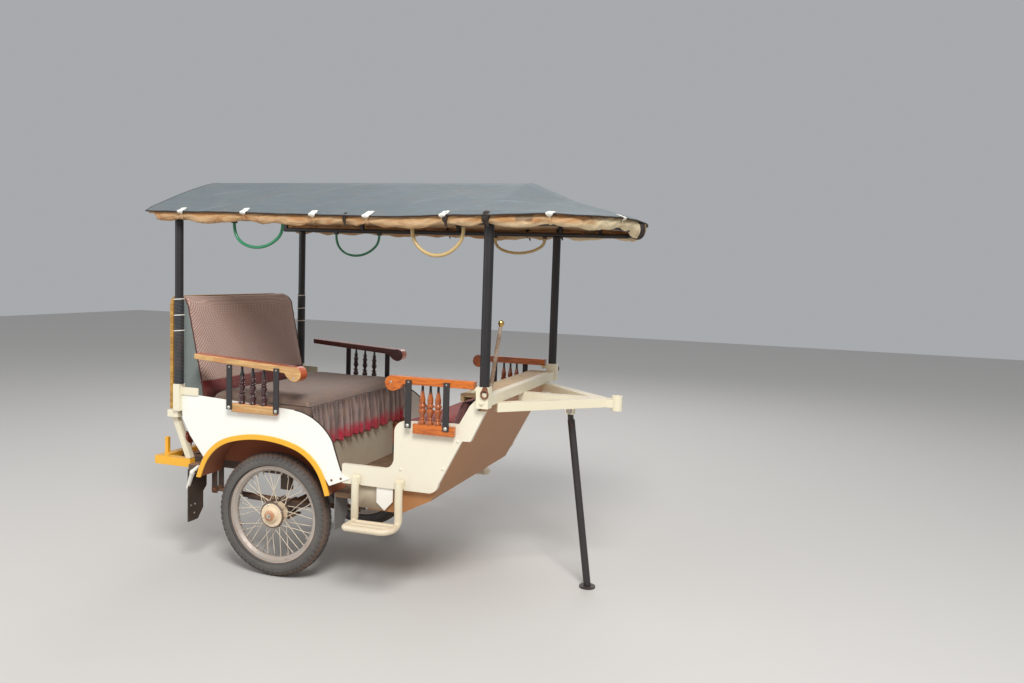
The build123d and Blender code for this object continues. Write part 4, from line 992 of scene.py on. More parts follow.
def arc_points(start: tuple[float, float], middle: tuple[float, float], end: tuple[float, float],
               steps: int) -> list[tuple[float, float]]:
    """Gives points on the arc through three points, without its start.

    Args:
        start: The arc's start.
        middle: A point on the way.
        end: The arc's end.
        steps: How many points to give.

    Returns:
        The points, the end included.
    """
    (ax, ay), (bx, by), (cx, cy) = start, middle, end
    twice = 2 * (ax * (by - cy) + bx * (cy - ay) + cx * (ay - by))
    a2, b2, c2 = ax * ax + ay * ay, bx * bx + by * by, cx * cx + cy * cy
    ux = (a2 * (by - cy) + b2 * (cy - ay) + c2 * (ay - by)) / twice
    uy = (a2 * (cx - bx) + b2 * (ax - cx) + c2 * (bx - ax)) / twice
    reach = math.hypot(ax - ux, ay - uy)
    first = math.atan2(ay - uy, ax - ux)
    sweep = math.atan2(cy - uy, cx - ux) - first
    past = math.atan2(by - uy, bx - ux) - first
    full = 2 * math.pi
    sweep, past = sweep % full, past % full
    if past > sweep:
        sweep -= full
    return [(ux + reach * math.cos(first + sweep * k / steps), uy + reach * math.sin(first + sweep * k / steps))
            for k in range(1, steps + 1)]


def bent(corners: Sequence[Vector], radii: Sequence[float], steps: int = 8) -> list[Vector]:
    """Gives the middle line of a steel tube bent round at its corners.

    Args:
        corners: The ends and the sharp corners of the line.
        radii: The bend at each inner corner, in metres.
        steps: Points for each bend.

    Returns:
        The line's points.
    """
    line = [corners[0]]
    for before, corner, after, radius in zip(corners[:-2], corners[1:-1], corners[2:], radii):
        back, ahead = (before - corner).normalized(), (after - corner).normalized()
        half = back.angle(ahead) / 2
        reach = radius / math.tan(half)
        centre = corner + (back + ahead).normalized() * (radius / math.sin(half))
        start, end = (corner + way * reach - centre for way in (back, ahead))
        line += [centre + start.normalized().slerp(end.normalized(), k / steps) * radius
                 for k in range(steps + 1)]
    return [*line, corners[-1]]


def smooth_profile(profile: Profile, steps: int) -> list[tuple[float, float]]:
    """Rounds a turning's profile between its listed rings.

    Args:
        profile: Places along it and the radius at each.
        steps: Points for each stretch.

    Returns:
        The finer profile.
    """
    points = [profile[0]]
    for (s0, r0), (s1, r1) in zip(profile[:-1], profile[1:]):
        points += [(s0 + (s1 - s0) * k / steps, r0 + (r1 - r0) * ease(k / steps)) for k in range(1, steps + 1)]
    return points


def clean(piece: bpy.types.Object) -> None:
    """Joins the points of a new mesh that lie on each other and turns its faces outwards."""
    mesh = bmesh.new()
    mesh.from_mesh(piece.data)
    bmesh.ops.remove_doubles(mesh, verts=mesh.verts, dist=0.00002)
    bmesh.ops.recalc_face_normals(mesh, faces=mesh.faces)
    mesh.to_mesh(piece.data)
    mesh.free()


def ease(value: float) -> float:
    """Gives a smooth step from 0 to 1 over the same range."""
    value = min(max(value, 0.0), 1.0)
    return value * value * (3 - 2 * value)


class Waves:
    """A smooth uneven line, the same each run: a few sine waves of seeded size and phase."""

    def __init__(self, seed: int, lengths: Sequence[float]) -> None:
        """Draws the waves.

        Args:
            seed: What the phases are drawn from.
            lengths: The waves' lengths, in metres.
        """
        rng = random.Random(seed)
        self.waves = [(2 * math.pi / length, rng.uniform(0, 2 * math.pi), rng.uniform(0.6, 1.0))
                      for length in lengths]

    def __call__(self, place: float) -> float:
        """Gives the line's height there, between about -1 and 1."""
        return sum(size * math.sin(turn * place + phase) for turn, phase, size in self.waves) / len(self.waves)


class Workshop:
    """Gives each piece its finish and body, and keeps the list of pieces."""

    def __init__(self) -> None:
        """Starts with the palette and no pieces."""
        self.palette = Palette()
        self.pieces: list[str] = []

    def add(self, piece: bpy.types.Object, finish: str, slot: str, body: Body = Body.CARRIAGE,
            replaces: Sequence[str] = ()) -> bpy.types.Object:
        """Finishes a new piece.

        Args:
            piece: The object.
            finish: The palette's name of its finish.
            slot: The record's material slot; not used.
            body: The body it rides on.
            replaces: The CAD nodes that it stands for.

        Returns:
            The piece.
        """
        piece.data.materials.clear()
        piece.data.materials.append(self.palette[finish])
        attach(piece, body.value)
        if replaces:
            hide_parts(*replaces)
        self.pieces.append(piece.name)
        LOG.info("piece %s rides on %s", piece.name, body.value)
        return piece

    def dress(self, node: str, finish: str, edge: float = 0.0) -> None:
        """Finishes a CAD node.

        Args:
            node: The node's name.
            finish: The palette's name of its finish.
            edge: How far its sharp edges are rounded, in metres.
        """
        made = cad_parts[node]
        for held in made.material_slots:
            held.material = self.palette[finish]
        if edge:
            weld = made.modifiers.new("weld", "WELD")
            weld.merge_threshold = 0.00002
            bevel = made.modifiers.new("edges", "BEVEL")
            bevel.width = edge
            bevel.segments = 2
            bevel.limit_method = "ANGLE"
            bevel.angle_limit = math.radians(38)
            bevel.use_clamp_overlap = True
            made.modifiers.new("shading", "WEIGHTED_NORMAL").weight = 50
        LOG.info("node %s is dressed in %s", node, finish)


@dataclass
class Studio:
    """Camera with the photograph's view, pale floor and soft lights."""

    focal: float = 29.88
    eye: tuple[float, float, float] = (2.259, -3.834, 1.475)
    yaw: float = 108.155
    pitch: float = -4.743
    roll: float = -1.943
    floor_half: float = 16.0

    def build(self) -> None:
        """Makes the camera, the floor and the lights."""
        yaw, pitch, roll = (math.radians(a) for a in (self.yaw, self.pitch, self.roll))
        ahead = Vector((math.cos(yaw) * math.cos(pitch), math.sin(yaw) * math.cos(pitch), math.sin(pitch)))
        level = Vector((math.sin(yaw), -math.cos(yaw), 0))
        down = ahead.cross(level)
        right = level * math.cos(roll) + down * math.sin(roll)
        up = level * math.sin(roll) - down * math.cos(roll)
        data = bpy.data.cameras.new("camera")
        data.lens = self.focal
        data.sensor_width = 36
        camera = bpy.data.objects.new("camera", data)
        axes = Matrix((right, up, -ahead)).transposed().to_4x4()
        camera.matrix_world = Matrix.Translation(Vector(self.eye) + Vector((AXLE_X, 0, 0))) @ axes
        bpy.context.scene.collection.objects.link(camera)
        bpy.context.scene.camera = camera
        self._floor()
        self._lights()

    def _floor(self) -> None:
        """Lays the plain pale floor."""
        half = self.floor_half
        rows = [[Vector((x, y, 0)) for y in (-half, half)] for x in (half, -half)]
        floor = Form().grid(rows).piece("floor")
        tree = Tree("pale_floor")
        tree.finish(tree.mix(tree.noise(3, 4) * 0.2, (0.62, 0.60, 0.57), (0.56, 0.54, 0.51)), 0.75)
        floor.data.materials.append(tree.material)

    def _lights(self) -> None:
        """Hangs the lights: a broad sky, a soft key and a low fill."""
        bpy.context.scene.view_settings.view_transform = "Standard"
        world = bpy.data.worlds.new("studio")
        bpy.context.scene.world = world
        world.use_nodes = True
        world.node_tree.nodes["Background"].inputs[0].default_value = (0.93, 0.96, 1.0, 1)
        world.node_tree.nodes["Background"].inputs[1].default_value = 0.42
        for name, spot, size, power in (("key", (2.6, -5.0, 6.5), 2.6, 560),
                                        ("fill", (-5.0, -4.0, 3.0), 4.0, 90),
                                        ("back", (-1.0, 5.0, 5.0), 4.0, 110)):
            data = bpy.data.lights.new(name, "AREA")
            data.energy = power
            data.size = size
            light = bpy.data.objects.new(name, data)
            light.location = spot
            light.rotation_euler = (Vector((-0.1, 0, 0.8)) - Vector(spot)).to_track_quat("-Z", "Y").to_euler()
            bpy.context.scene.collection.objects.link(light)


@dataclass(frozen=True)
class Hose:
    """One loop of hose that hangs from two clips of an eave rail, its route in millimetres."""

    name: str
    side: Side
    finish: str
    diameter: float
    length: float
    route: Profile
    hang_y: ClassVar[float] = 525

    def build(self, shop: Workshop) -> None:
        """Makes the hose as one smooth curve."""
        data = bpy.data.curves.new(self.name, "CURVE")
        data.dimensions = "3D"
        data.resolution_u = 14
        data.bevel_depth = self.diameter / 2
        data.bevel_resolution = 4
        data.use_fill_caps = True
        spline = data.splines.new("NURBS")
        points = [at(x, self.side.value * self.hang_y, z) for x, z in self.route]
        spline.points.add(len(points) - 1)
        for held, point in zip(spline.points, points):
            held.co = (*point, 1.0)
        spline.order_u = 3
        spline.use_endpoint_u = True
        made = bpy.data.objects.new(f"{self.name}_cord", data)
        bpy.context.scene.collection.objects.link(made)
        shop.add(made, self.finish, self.finish, replaces=(self.name,))
        points[0]


HOSES = (
    Hose("hose_green_right", Side.RIGHT, "green_hose", 0.014, 0.379,
         ((-177, 1650), (-177, 1608), (-142, 1562), (-88, 1542), (-26, 1543), (32, 1566), (78, 1610),
          (78, 1650))),
    Hose("hose_beige_right", Side.RIGHT, "beige_hose", 0.016, 0.380,
         ((712, 1650), (712, 1604), (748, 1554), (804, 1527), (864, 1531), (914, 1562), (946, 1606),
          (946, 1650))),
    Hose("hose_green_left", Side.LEFT, "green_hose", 0.014, 0.409,
         ((-256, 1650), (-256, 1608), (-220, 1556), (-160, 1531), (-92, 1533), (-30, 1560), (18, 1608),
          (18, 1650))),
    Hose("hose_beige_left", Side.LEFT, "beige_hose", 0.016, 0.362,
         ((714, 1650), (714, 1615), (756, 1584), (818, 1571), (880, 1572), (944, 1588), (993, 1618),
          (993, 1650))),
)


@dataclass
class WireWheel:
    """One wheel's tyre with its tread, and the small parts on its rim and hub."""

    side: Side
    middle_y: float = 441
    half_width: float = 0.039
    belly_radius: float = 0.252
    crown: float = 0.0405
    blocks: int = 66
    spokes: int = 36
    well_radius: float = 0.206

    @property
    def body(self) -> Body:
        """The body that the wheel is."""
        return Body[f"WHEEL_{self.side.name}"]

    @property
    def centre(self) -> Vector:
        """The middle of the wheel."""
        return at(0, self.side.value * self.middle_y, AXLE_Z / MM)

    def _skin(self, turn: float, lean: float, high: float = 0.0) -> Vector:
        """Gives a point on or over the tyre's skin.

        Args:
            turn: The angle round the wheel.
            lean: The angle from the crown towards a wall.
            high: The height over the skin.

        Returns:
            The point.
        """
        across = (self.half_width + high) * math.sin(lean)
        reach = self.belly_radius + (self.crown + high) * math.cos(lean)
        ray = Vector((math.cos(turn), 0, math.sin(turn)))
        return self.centre + ray * reach + Vector((0, across, 0))

    def _tyre(self, shop: Workshop) -> None:
        """Makes the tyre: a turned carcass with three bands of tread blocks."""
        form = Form()
        leans = [math.radians(a) for a in range(-112, 113, 7)]
        bead = [(0.232, 0.020), (0.2405, 0.0235)]
        rows = []
        for i in range(144):
            turn = 2 * math.pi * i / 144
            ray = Vector((math.cos(turn), 0, math.sin(turn)))
            left = [self.centre + ray * r + Vector((0, -y, 0)) for r, y in bead]
            right = [self.centre + ray * r + Vector((0, y, 0)) for r, y in reversed(bead)]
            rows.append(left + [self._skin(turn, a) for a in leans] + right)
        form.grid(rows, around=True, closed=True, flip=True)
        pitch = 2 * math.pi / self.blocks
        bands = ((-0.13, 0.13, 0.0, 0.62, 0.0032), (0.27, 0.62, 0.5, 0.62, 0.0032), (-0.62, -0.27, 0.0, 0.62, 0.0032),
                 (0.78, 1.26, 0.1, 0.56, 0.0034), (-1.26, -0.78, 0.6, 0.56, 0.0034))
        for i in range(self.blocks):
            for lean0, lean1, shift, length, high in bands:
                self._block(form, (i + shift) * pitch, length * pitch / 2, lean0, lean1, high)
        shop.add(form.piece(f"tyre_tread_{self.side.word}", 32), "rubber", "tyre", self.body,
                 (f"tyre_{self.side.word}",))

    def _block(self, form: Form, turn: float, half: float, lean0: float, lean1: float, high: float) -> None:
        """Adds one tread block with sloping walls.

        Args:
            form: The tyre's form.
            turn: The block's middle round the wheel.
            half: Half its angle round the wheel.
            lean0: Its one edge's angle from the crown.
            lean1: Its other edge's.
            high: Its height.
        """
        skew = 0.16 * half
        middle = (lean0 + lean1) / 2
        corners = []
        for lift, shrink in ((-0.0012, 1.0), (high, 0.84)):
            for lean in (lean0, lean1):
                shift = skew if lean > middle else -skew
                for way in (-1, 1):
                    corners.append(self._skin(turn + (way * half + shift) * shrink,
                                              middle + (lean - middle) * shrink, lift))
        form.hull_of(corners)

    def _small_parts(self, shop: Workshop) -> None:
        """Makes the spoke nipples, the valve and the hub's bolts."""
        form = Form()
        for i in range(self.spokes):
            turn = 2 * math.pi * i / self.spokes
            ray = Vector((math.cos(turn), 0, math.sin(turn)))
            seat = self.centre + ray * (self.well_radius + 0.001)
            form.lathe(((0, 0.0), (0, 0.0036), (0.009, 0.0032), (0.016, 0.0026), (0.016, 0.0)), seat, -ray, 8)
        valve = math.radians(251)
        ray = Vector((math.cos(valve), 0, math.sin(valve)))
        form.lathe(((0, 0.0), (0, 0.007), (0.004, 0.007), (0.005, 0.004), (0.03, 0.004), (0.031, 0.0052),
                    (0.038, 0.0052), (0.040, 0.0)), self.centre + ray * self.well_radius, -ray, 12)
        shop.add(form.piece(f"spoke_nipples_{self.side.word}"), "zinc", "wheel", self.body)
        out = Vector((0, self.side.value, 0))
        hub = Form()
        hub.bolt(self.centre + out * 0.0545, out, 0.014, 0.008)
        for k in range(4):
            turn = math.pi / 2 * k + 0.4
            ray = Vector((math.cos(turn), 0, math.sin(turn)))
            hub.dome(self.centre + ray * 0.049 + out * 0.0308, out, 0.0045, 0.0025)
        shop.add(hub.piece(f"hub_bolts_{self.side.word}"), "bright", "wheel", self.body)

    def build(self, shop: Workshop) -> None:
        """Dresses the wheel."""
        shop.dress(f"wheel_{self.side.word}", "wheel")
        self._tyre(shop)
        self._small_parts(shop)


@dataclass
class RunningGear:
    """Axle, springs, chassis, drawbar and prop leg, with their nuts and pins."""

    spring_y: float = 345
    eye_x: float = 395
    eye_z: float = 350

    def build(self, shop: Workshop) -> None:
        """Dresses the steel and adds the nuts."""
        for node in ("axle", "leaf_springs", "chassis_frame", "floor_frame", "spring_hangers"):
            shop.dress(node, "chassis", 0.0012)
        for node in ("drawbar", "drawbar_brace_right", "drawbar_brace_left"):
            shop.dress(node, "cream", 0.0015)
        shop.dress("prop_leg", "black", 0.0012)
        form = Form()
        for side in Side:
            out = Vector((0, side.value, 0))
            for eye in (-self.eye_x, self.eye_x):
                for face in (26.8, -26.8):
                    seat = at(eye, side.value * (self.spring_y + face), self.eye_z)
                    form.bolt(seat, out * math.copysign(1, face), 0.019, 0.010)
            for x in (-30, 30):
                for y in (-30, 30):
                    form.bolt(at(x, side.value * self.spring_y + y, 269), Vector((0, 0, -1)), 0.015, 0.010)
        shop.add(form.piece("spring_nuts"), "rusty", "black_steel")
        pin = Form()
        for side in Side:
            pin.bolt(at(1300, side.value * 17.5, 835), Vector((0, side.value, 0)), 0.019, 0.009)
        shop.add(pin.piece("prop_pin_heads"), "zinc", "black_steel")


@dataclass
class BodyShell:
    """Fenders, panels, apron, floor, steps and flaps, with their bolts and edge trim."""

    panel_bolts: Profile = ((947, 747), (882, 621), (684, 599))
    strap_bolts: Profile = ((348, 515), (395, 527))
    arch_bolts: Profile = ((-300, 600), (250, 600))
    body_half: float = 525

    def build(self, shop: Workshop) -> None:
        """Dresses the shell and adds its small parts."""
        for side in Side:
            shop.dress(f"fender_{side.word}", "white", 0.0012)
            shop.dress(f"front_panel_{side.word}", "panel", 0.0016)
            self._step(shop, side)
        # The belly apron takes the tan painted shade.
        for node, finish, edge in (("arch_trims", "yellow", 0.0015), ("wheel_wells", "liner", 0.0),
                                   ("sill_tabs", "white", 0.001), ("belly_apron", "tan", 0.001),
                                   ("floor_boards", "floor_board", 0.001), ("rear_bumper", "yellow", 0.003),
                                   ("tail_frame", "cream", 0.0015), ("rear_mud_flaps", "flap", 0.001),
                                   ("front_mud_flaps", "grey_flap", 0.001)):
            shop.dress(node, finish, edge)
        heads = Form()
        dark = Form()
        flap_dots = Form()
        for side in Side:
            out = Vector((0, side.value, 0))
            for x, z in self.panel_bolts:
                heads.dome(at(x, side.value * self.body_half, z), out, 0.0075, 0.004)
            for x, z in self.strap_bolts:
                dark.dome(at(x, side.value * (self.body_half + 5), z), out, 0.006, 0.0022)
            for y, z in ((500, 300), (476, 258), (470, 300)):
                flap_dots.dome(at(-436, side.value * y, z), Vector((-1, 0, 0)), 0.005, 0.002)
                flap_dots.dome(at(-430, side.value * y, z), Vector((1, 0, 0)), 0.005, 0.002)
        shop.add(heads.piece("panel_bolt_heads"), "panel", "white_paint")
        shop.add(dark.piece("strap_bolt_heads"), "chassis", "black_steel")
        shop.add(flap_dots.piece("flap_rivets"), "zinc", "black_steel")
        self._edging(shop)
        self._plates(shop)
        self._tail(shop)

    def _plates(self, shop: Workshop) -> None:
        """Makes the pale plates that close the footwell's sides under the sills."""
        # The plates carry the footwell side's own cream; past their front edge the apron shows its tan painted shade.
        line = [(456, 538), (456, 420), *arc_points((456, 420), (461, 408), (473, 403), 6), (596, 403), (604, 538)]
        form = Form()
        for side in Side:
            face = side.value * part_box("belly_apron")[1].y / MM
            near, far = ([at(x, face + side.value * y, z) for x, z in line] for y in (0, 2))
            form.grid([near, far], around=True).cap(near, flip=True).cap(far)
        made = form.piece("footwell_plates")
        clean(made)
        shop.add(made, "plate", "cream_steel")

    def _tail(self, shop: Workshop) -> None:
        """Makes the curled sheet feet at the fenders' rear ends, and the lamps behind the braces."""
        feet = Form()
        lamps = Form()
        for side in Side:
            path = bent([at(-378, side.value * 512, 500), at(-412, side.value * 512, 468), at(-441, side.value * 511, 386)],
                        (0.045,))
            feet.tube(path, [0.009 + 0.007 * math.sin(math.pi * k / (len(path) - 1)) ** 0.5 for k in range(len(path))],
                      16, 0.8)
            lamps.lathe(((0, 0.0), (0, 0.027), (0.030, 0.030), (0.034, 0.027), (0.038, 0.020), (0.041, 0.0)),
                        at(-455, side.value * 470, 622), Vector((-1, 0, 0)), 28)
            wire = [at(-452 - 3 * k, side.value * (470 + 3 * math.sin(k)), 596 - 9 * k) for k in range(7)]
            lamps.tube(wire, 0.0035, 8)
        shop.add(feet.piece("tail_feet"), "white", "white_paint")
        shop.add(lamps.piece("tail_lamps"), "lamp", "black_rubber")

    def _step(self, shop: Workshop, side: Side) -> None:
        """Makes one foot step: bent tube legs and rim, with two bars to tread on."""
        rim = [(474, 541, 546), (474, 543, 347), (474, 641, 347), (690, 641, 347), (688, 545, 352),
               (685, 541, 546)]
        path = bent([at(x, side.value * y, z) for x, y, z in rim], (0.020, 0.016, 0.050, 0.030))
        form = Form().tube(path, [0.0140 + 0.0035 * ease((p.z - 0.352) / 0.02) for p in path], 20)
        for y, radius in ((548, 0.010), (592, 0.0085)):
            ends = [at(470, side.value * y, 348), at(692, side.value * y, 350)]
            form.tube(run_of(ends, 0.03), radius, 14)
        for x in (474, 685):
            form.block(at(x - 20, side.value * 531, 516), at(x + 20, side.value * 536, 556))
        shop.add(form.piece(f"step_tubes_{side.word}", 50), "cream", "cream_steel",
                 replaces=(f"step_{side.word}",))

    def _edging(self, shop: Workshop) -> None:
        """Makes a thin black strip along the fenders' curved front edge."""
        for side in Side:
            line = [(150, 814), *arc_points((150, 814), (271, 769), (345, 690), 18), (368, 625), (392, 560)]
            path = [at(x, side.value * (self.body_half - 3), z) for x, z in line]
            form = Form().tube(path, 0.0038, 8)
            shop.add(form.piece(f"fender_edging_{side.word}"), "edging", "black_rubber")


@dataclass
class Cushion:
    """A padded piece that is blown up a little from its CAD solid's box or outline."""

    name: str
    node: str
    finish: str
    slot: str
    voxel: float = 0.011
    pressure: float = 4.0
    most: float = 0.012
    fill: float = 0.7
    inset: float = 0.006
    thicker: float = 1.0
    wider: float = 1.0
    rounds: int = 3

    def _start(self) -> bpy.types.Object:
        """Copies the CAD solid, drawn in from its faces, as the pad's start."""
        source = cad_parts[self.node]
        mesh = source.data.copy()
        mesh.name = self.name
        low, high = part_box(self.node)
        middle = (low + high) / 2
        half = (high - low) / 2
        for vertex in mesh.vertices:
            away = vertex.co - middle
            vertex.co = middle + Vector(a * (1 - self.inset / h) for a, h in zip(away, half))
            vertex.co.z = low.z + (vertex.co.z - low.z) * self.thicker
            vertex.co.y *= self.wider
        made = bpy.data.objects.new(self.name, mesh)
        bpy.context.scene.collection.objects.link(made)
        return made

    def _inflate(self, pad: bpy.types.Object) -> None:
        """Blows the pad up with cloth under pressure, then caps how far each point moved."""
        scene = bpy.context.scene
        rest = [v.co.copy() for v in pad.data.vertices]
        cloth = pad.modifiers.new("cloth", "CLOTH")
        cloth.settings.quality = 5
        cloth.settings.use_pressure = True
        cloth.settings.uniform_pressure_force = self.pressure
        cloth.settings.effector_weights.gravity = 0
        cloth.settings.tension_stiffness = 12
        cloth.settings.bending_stiffness = 0.6
        cloth.point_cache.frame_start = 1
        cloth.point_cache.frame_end = 20
        for step in range(1, 21):
            scene.frame_set(step)
        held = pad.evaluated_get(bpy.context.evaluated_depsgraph_get())
        moved = [v.co.copy() for v in held.data.vertices]
        pad.modifiers.remove(cloth)
        scene.frame_set(1)
        for vertex, was, now in zip(pad.data.vertices, rest, moved):
            step = now - was
            if step.length > self.most:
                step *= self.most / step.length
            vertex.co = was + step

    def build(self, shop: Workshop) -> bpy.types.Object:
        """Makes the pad.

        Returns:
            The pad.
        """
        pad = self._start()
        remesh = pad.modifiers.new("remesh", "REMESH")
        remesh.mode = "VOXEL"
        remesh.voxel_size = self.voxel
        held = pad.evaluated_get(bpy.context.evaluated_depsgraph_get())
        mesh = bpy.data.meshes.new_from_object(held)
        pad.modifiers.remove(remesh)
        pad.data = mesh
        soften(pad, self.rounds)
        self._inflate(pad)
        mesh.polygons.foreach_set("use_smooth", [True] * len(mesh.polygons))
        pad.modifiers.new("fine", "SUBSURF").levels = 1
        pad.modifiers["fine"].render_levels = 1
        shop.add(pad, self.finish, self.slot, replaces=(self.node,))
        return pad


def soften(piece: bpy.types.Object, rounds: int) -> None:
    """Rounds a mesh's edges by moving each point towards its neighbours' mean.

    Args:
        piece: The object.
        rounds: How often that is done.
    """
    mesh = piece.data
    near: list[list[int]] = [[] for _ in mesh.vertices]
    for edge in mesh.edges:
        a, b = edge.vertices
        near[a].append(b)
        near[b].append(a)
    points = [v.co.copy() for v in mesh.vertices]
    for _ in range(rounds):
        points = [point.lerp(sum((points[k] for k in ring), Vector()) / len(ring), 0.5) if ring else point
                  for point, ring in zip(points, near)]
    for vertex, point in zip(mesh.vertices, points):
        vertex.co = point


def on_surface(piece: bpy.types.Object, points: Iterable[Vector], lift: float) -> list[Vector]:
    """Moves points to the nearest place on a piece.

    Args:
        piece: The object, its modifiers included.
        points: The points.
        lift: How far over the surface they end.

    Returns:
        The moved points.
    """
    tree = BVHTree.FromObject(piece, bpy.context.evaluated_depsgraph_get())
    moved = []
    for point in points:
        spot, normal, _, _ = tree.find_nearest(point)
        moved.append(spot + normal * lift)
    return moved


def run_of(corners: Sequence[Vector], step: float = 0.012) -> list[Vector]:
    """Divides the runs between corners into short steps."""
    points = [corners[0]]
    for start, end in zip(corners[:-1], corners[1:]):
        count = max(1, round((end - start).length / step))
        points += [start.lerp(end, (k + 1) / count) for k in range(count)]
    return points


@dataclass
class RearSeat:
    """Rear seat: cushion with piping, gathered skirt, seat back and the boards that carry them."""

    front_x: float = 211
    half: float = 0.478
    skirt_top: float = 0.826
    skirt_foot: float = 0.638
    folds: int = 17
    thicker: float = 1.86

    def build(self, shop: Workshop) -> None:
        """Makes the seat."""
        for node, finish in (("seat_box", "board"), ("seat_kick_board", "kick"), ("back_board", "ochre_board")):
            shop.dress(node, finish, 0.001)
        seat = Cushion("seat_pad", "rear_seat_cushion", "seat", "seat_cloth", most=0.014, thicker=self.thicker,
                       rounds=16).build(shop)
        low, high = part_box("rear_seat_cushion")
        level = self.skirt_top + 0.003
        rim = run_of([Vector((low.x + 0.34, low.y, level + 0.004)), Vector((high.x, low.y, level)),
                      Vector((high.x, high.y, level)), Vector((low.x + 0.34, high.y, level + 0.004))])
        piping = Form().tube(on_surface(seat, rim, 0.001), 0.0042, 8)
        shop.add(piping.piece("seat_piping"), "seat", "seat_cloth")
        back = Cushion("seat_back_pad", "back_cushion", "seat_back", "seat_cloth", voxel=0.012,
                       most=0.012, wider=1.045, thicker=1.028).build(shop)
        self._back_seams(shop, back)
        self._skirt(shop)

    def _back_seams(self, shop: Workshop, back: bpy.types.Object) -> None:
        """Makes the piping round the seat back's front face."""
        low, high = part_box("back_cushion")
        for side in Side:
            y = low.y if side is Side.RIGHT else high.y
            edge = run_of([Vector((at(-388, 0, 0).x, y, 0.80)), Vector((at(-493, 0, 0).x, y, 1.26)),
                           Vector((at(-518, 0, 0).x, y, 1.30))])
            form = Form().tube(on_surface(back, edge, 0.001), 0.0034, 8)
            shop.add(form.piece(f"seat_back_piping_{side.word}"), "bench", "seat_cloth")

    def _skirt(self, shop: Workshop) -> None:
        """Makes the gathered skirt under the seat's front edge."""
        sway = Waves(11, (0.31, 0.17, 0.09))
        drop = Waves(5, (0.45, 0.21, 0.12))
        swell = Waves(23, (0.26, 0.13, 0.07))
        across = 680
        down = 24
        rows = []
        for j in range(down + 1):
            v = j / down
            row = []
            for i in range(across + 1):
                u = i / across
                y = -self.half + 2 * self.half * u
                phase = 2 * math.pi * self.folds * (u + 0.034 * sway(y)) + 1.1 * v * sway(y * 1.7 + 0.3)
                fold = 0.5 + 0.5 * math.sin(phase + 0.45 * math.sin(phase))
                gather = 0.5 + 0.5 * math.sin(3 * phase + 2.0 * swell(y * 2))
                big = 0.019 * ease(0.14 + v * 1.1) * (1 + 0.35 * swell(y))
                small = 0.0055 * (1 - ease(v * 1.2)) + 0.0018
                foot = self.skirt_foot + 0.009 * drop(y) - 0.008 * fold
                z = self.skirt_top + (foot - self.skirt_top) * v
                lean = 0.55 * big * math.cos(phase)
                out = -0.004 + 0.006 * ease(v * 3) + big * fold + small * gather
                row.append(Vector((at(self.front_x, 0, 0).x + out, y + lean, z)))
            rows.append(row)
        skirt = Form().grid(rows, flip=True).piece("gathered_skirt", 180)
        thick = skirt.modifiers.new("cloth", "SOLIDIFY")
        thick.thickness = 0.0014
        thick.offset = 0
        shop.add(skirt, "skirt", "seat_cloth", replaces=("seat_skirt",))


@dataclass
class FrontSeat:
    """Front bench that faces backwards: box, pads, shelf and rail with the post collars."""

    half: float = 503
    collar_y: float = 525
    post_x: float = 1060

    def build(self, shop: Workshop) -> None:
        """Makes the bench."""
        for node, finish in (("front_bench", "kick"), ("front_shelf", "board"), ("front_rail", "cream")):
            shop.dress(node, finish, 0.0015)
        seat = Cushion("bench_pad", "front_bench_cushion", "bench_seat", "maroon_cloth", voxel=0.010,
                       most=0.010).build(shop)
        low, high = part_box("front_bench_cushion")
        rim = run_of([Vector((high.x, low.y, high.z - 0.012)), Vector((low.x, low.y, high.z - 0.012)),
                      Vector((low.x, high.y, high.z - 0.012)), Vector((high.x, high.y, high.z - 0.012))])
        shop.add(Form().tube(on_surface(seat, rim, 0.001), 0.0034, 8).piece("bench_piping"), "bench",
                 "maroon_cloth")
        Cushion("bench_back_pad", "front_bench_back", "bench", "maroon_cloth", voxel=0.009,
                most=0.008).build(shop)
        self._collars(shop)

    def _collars(self, shop: Workshop) -> None:
        """Makes the clamp knobs, rusty rings and bolts at the feet of the front posts."""
        pale = Form()
        rusty = Form()
        for side in Side:
            y = side.value * self.collar_y
            out = Vector((0, side.value, 0))
            pale.lathe(((0, 0.0), (0, 0.008), (0.014, 0.009), (0.017, 0.013), (0.026, 0.014), (0.031, 0.009),
                        (0.032, 0.0)), at(self.post_x - 27, y, 972), Vector((-1, 0, 0)), 20)
            pale.bolt(at(self.post_x, y + side.value * 27, 925), out, 0.017, 0.008)
            ring = [at(self.post_x + 12 + 15 * math.cos(t), y + side.value * 32, 962 + 17 * math.sin(t))
                    for t in (2 * math.pi * k / 24 for k in range(25))]
            rusty.tube(ring, 0.0042, 8)
            rusty.bolt(at(self.post_x + 12, y + side.value * 27, 980), out, 0.015, 0.007)
        shop.add(pale.piece("post_clamp_knobs"), "cream", "cream_steel")
        shop.add(rusty.piece("post_clamp_rings"), "rusty", "black_steel")


class Place(Enum):
    """The two seats that have armrests."""

    REAR = "rear"
    FRONT = "front"


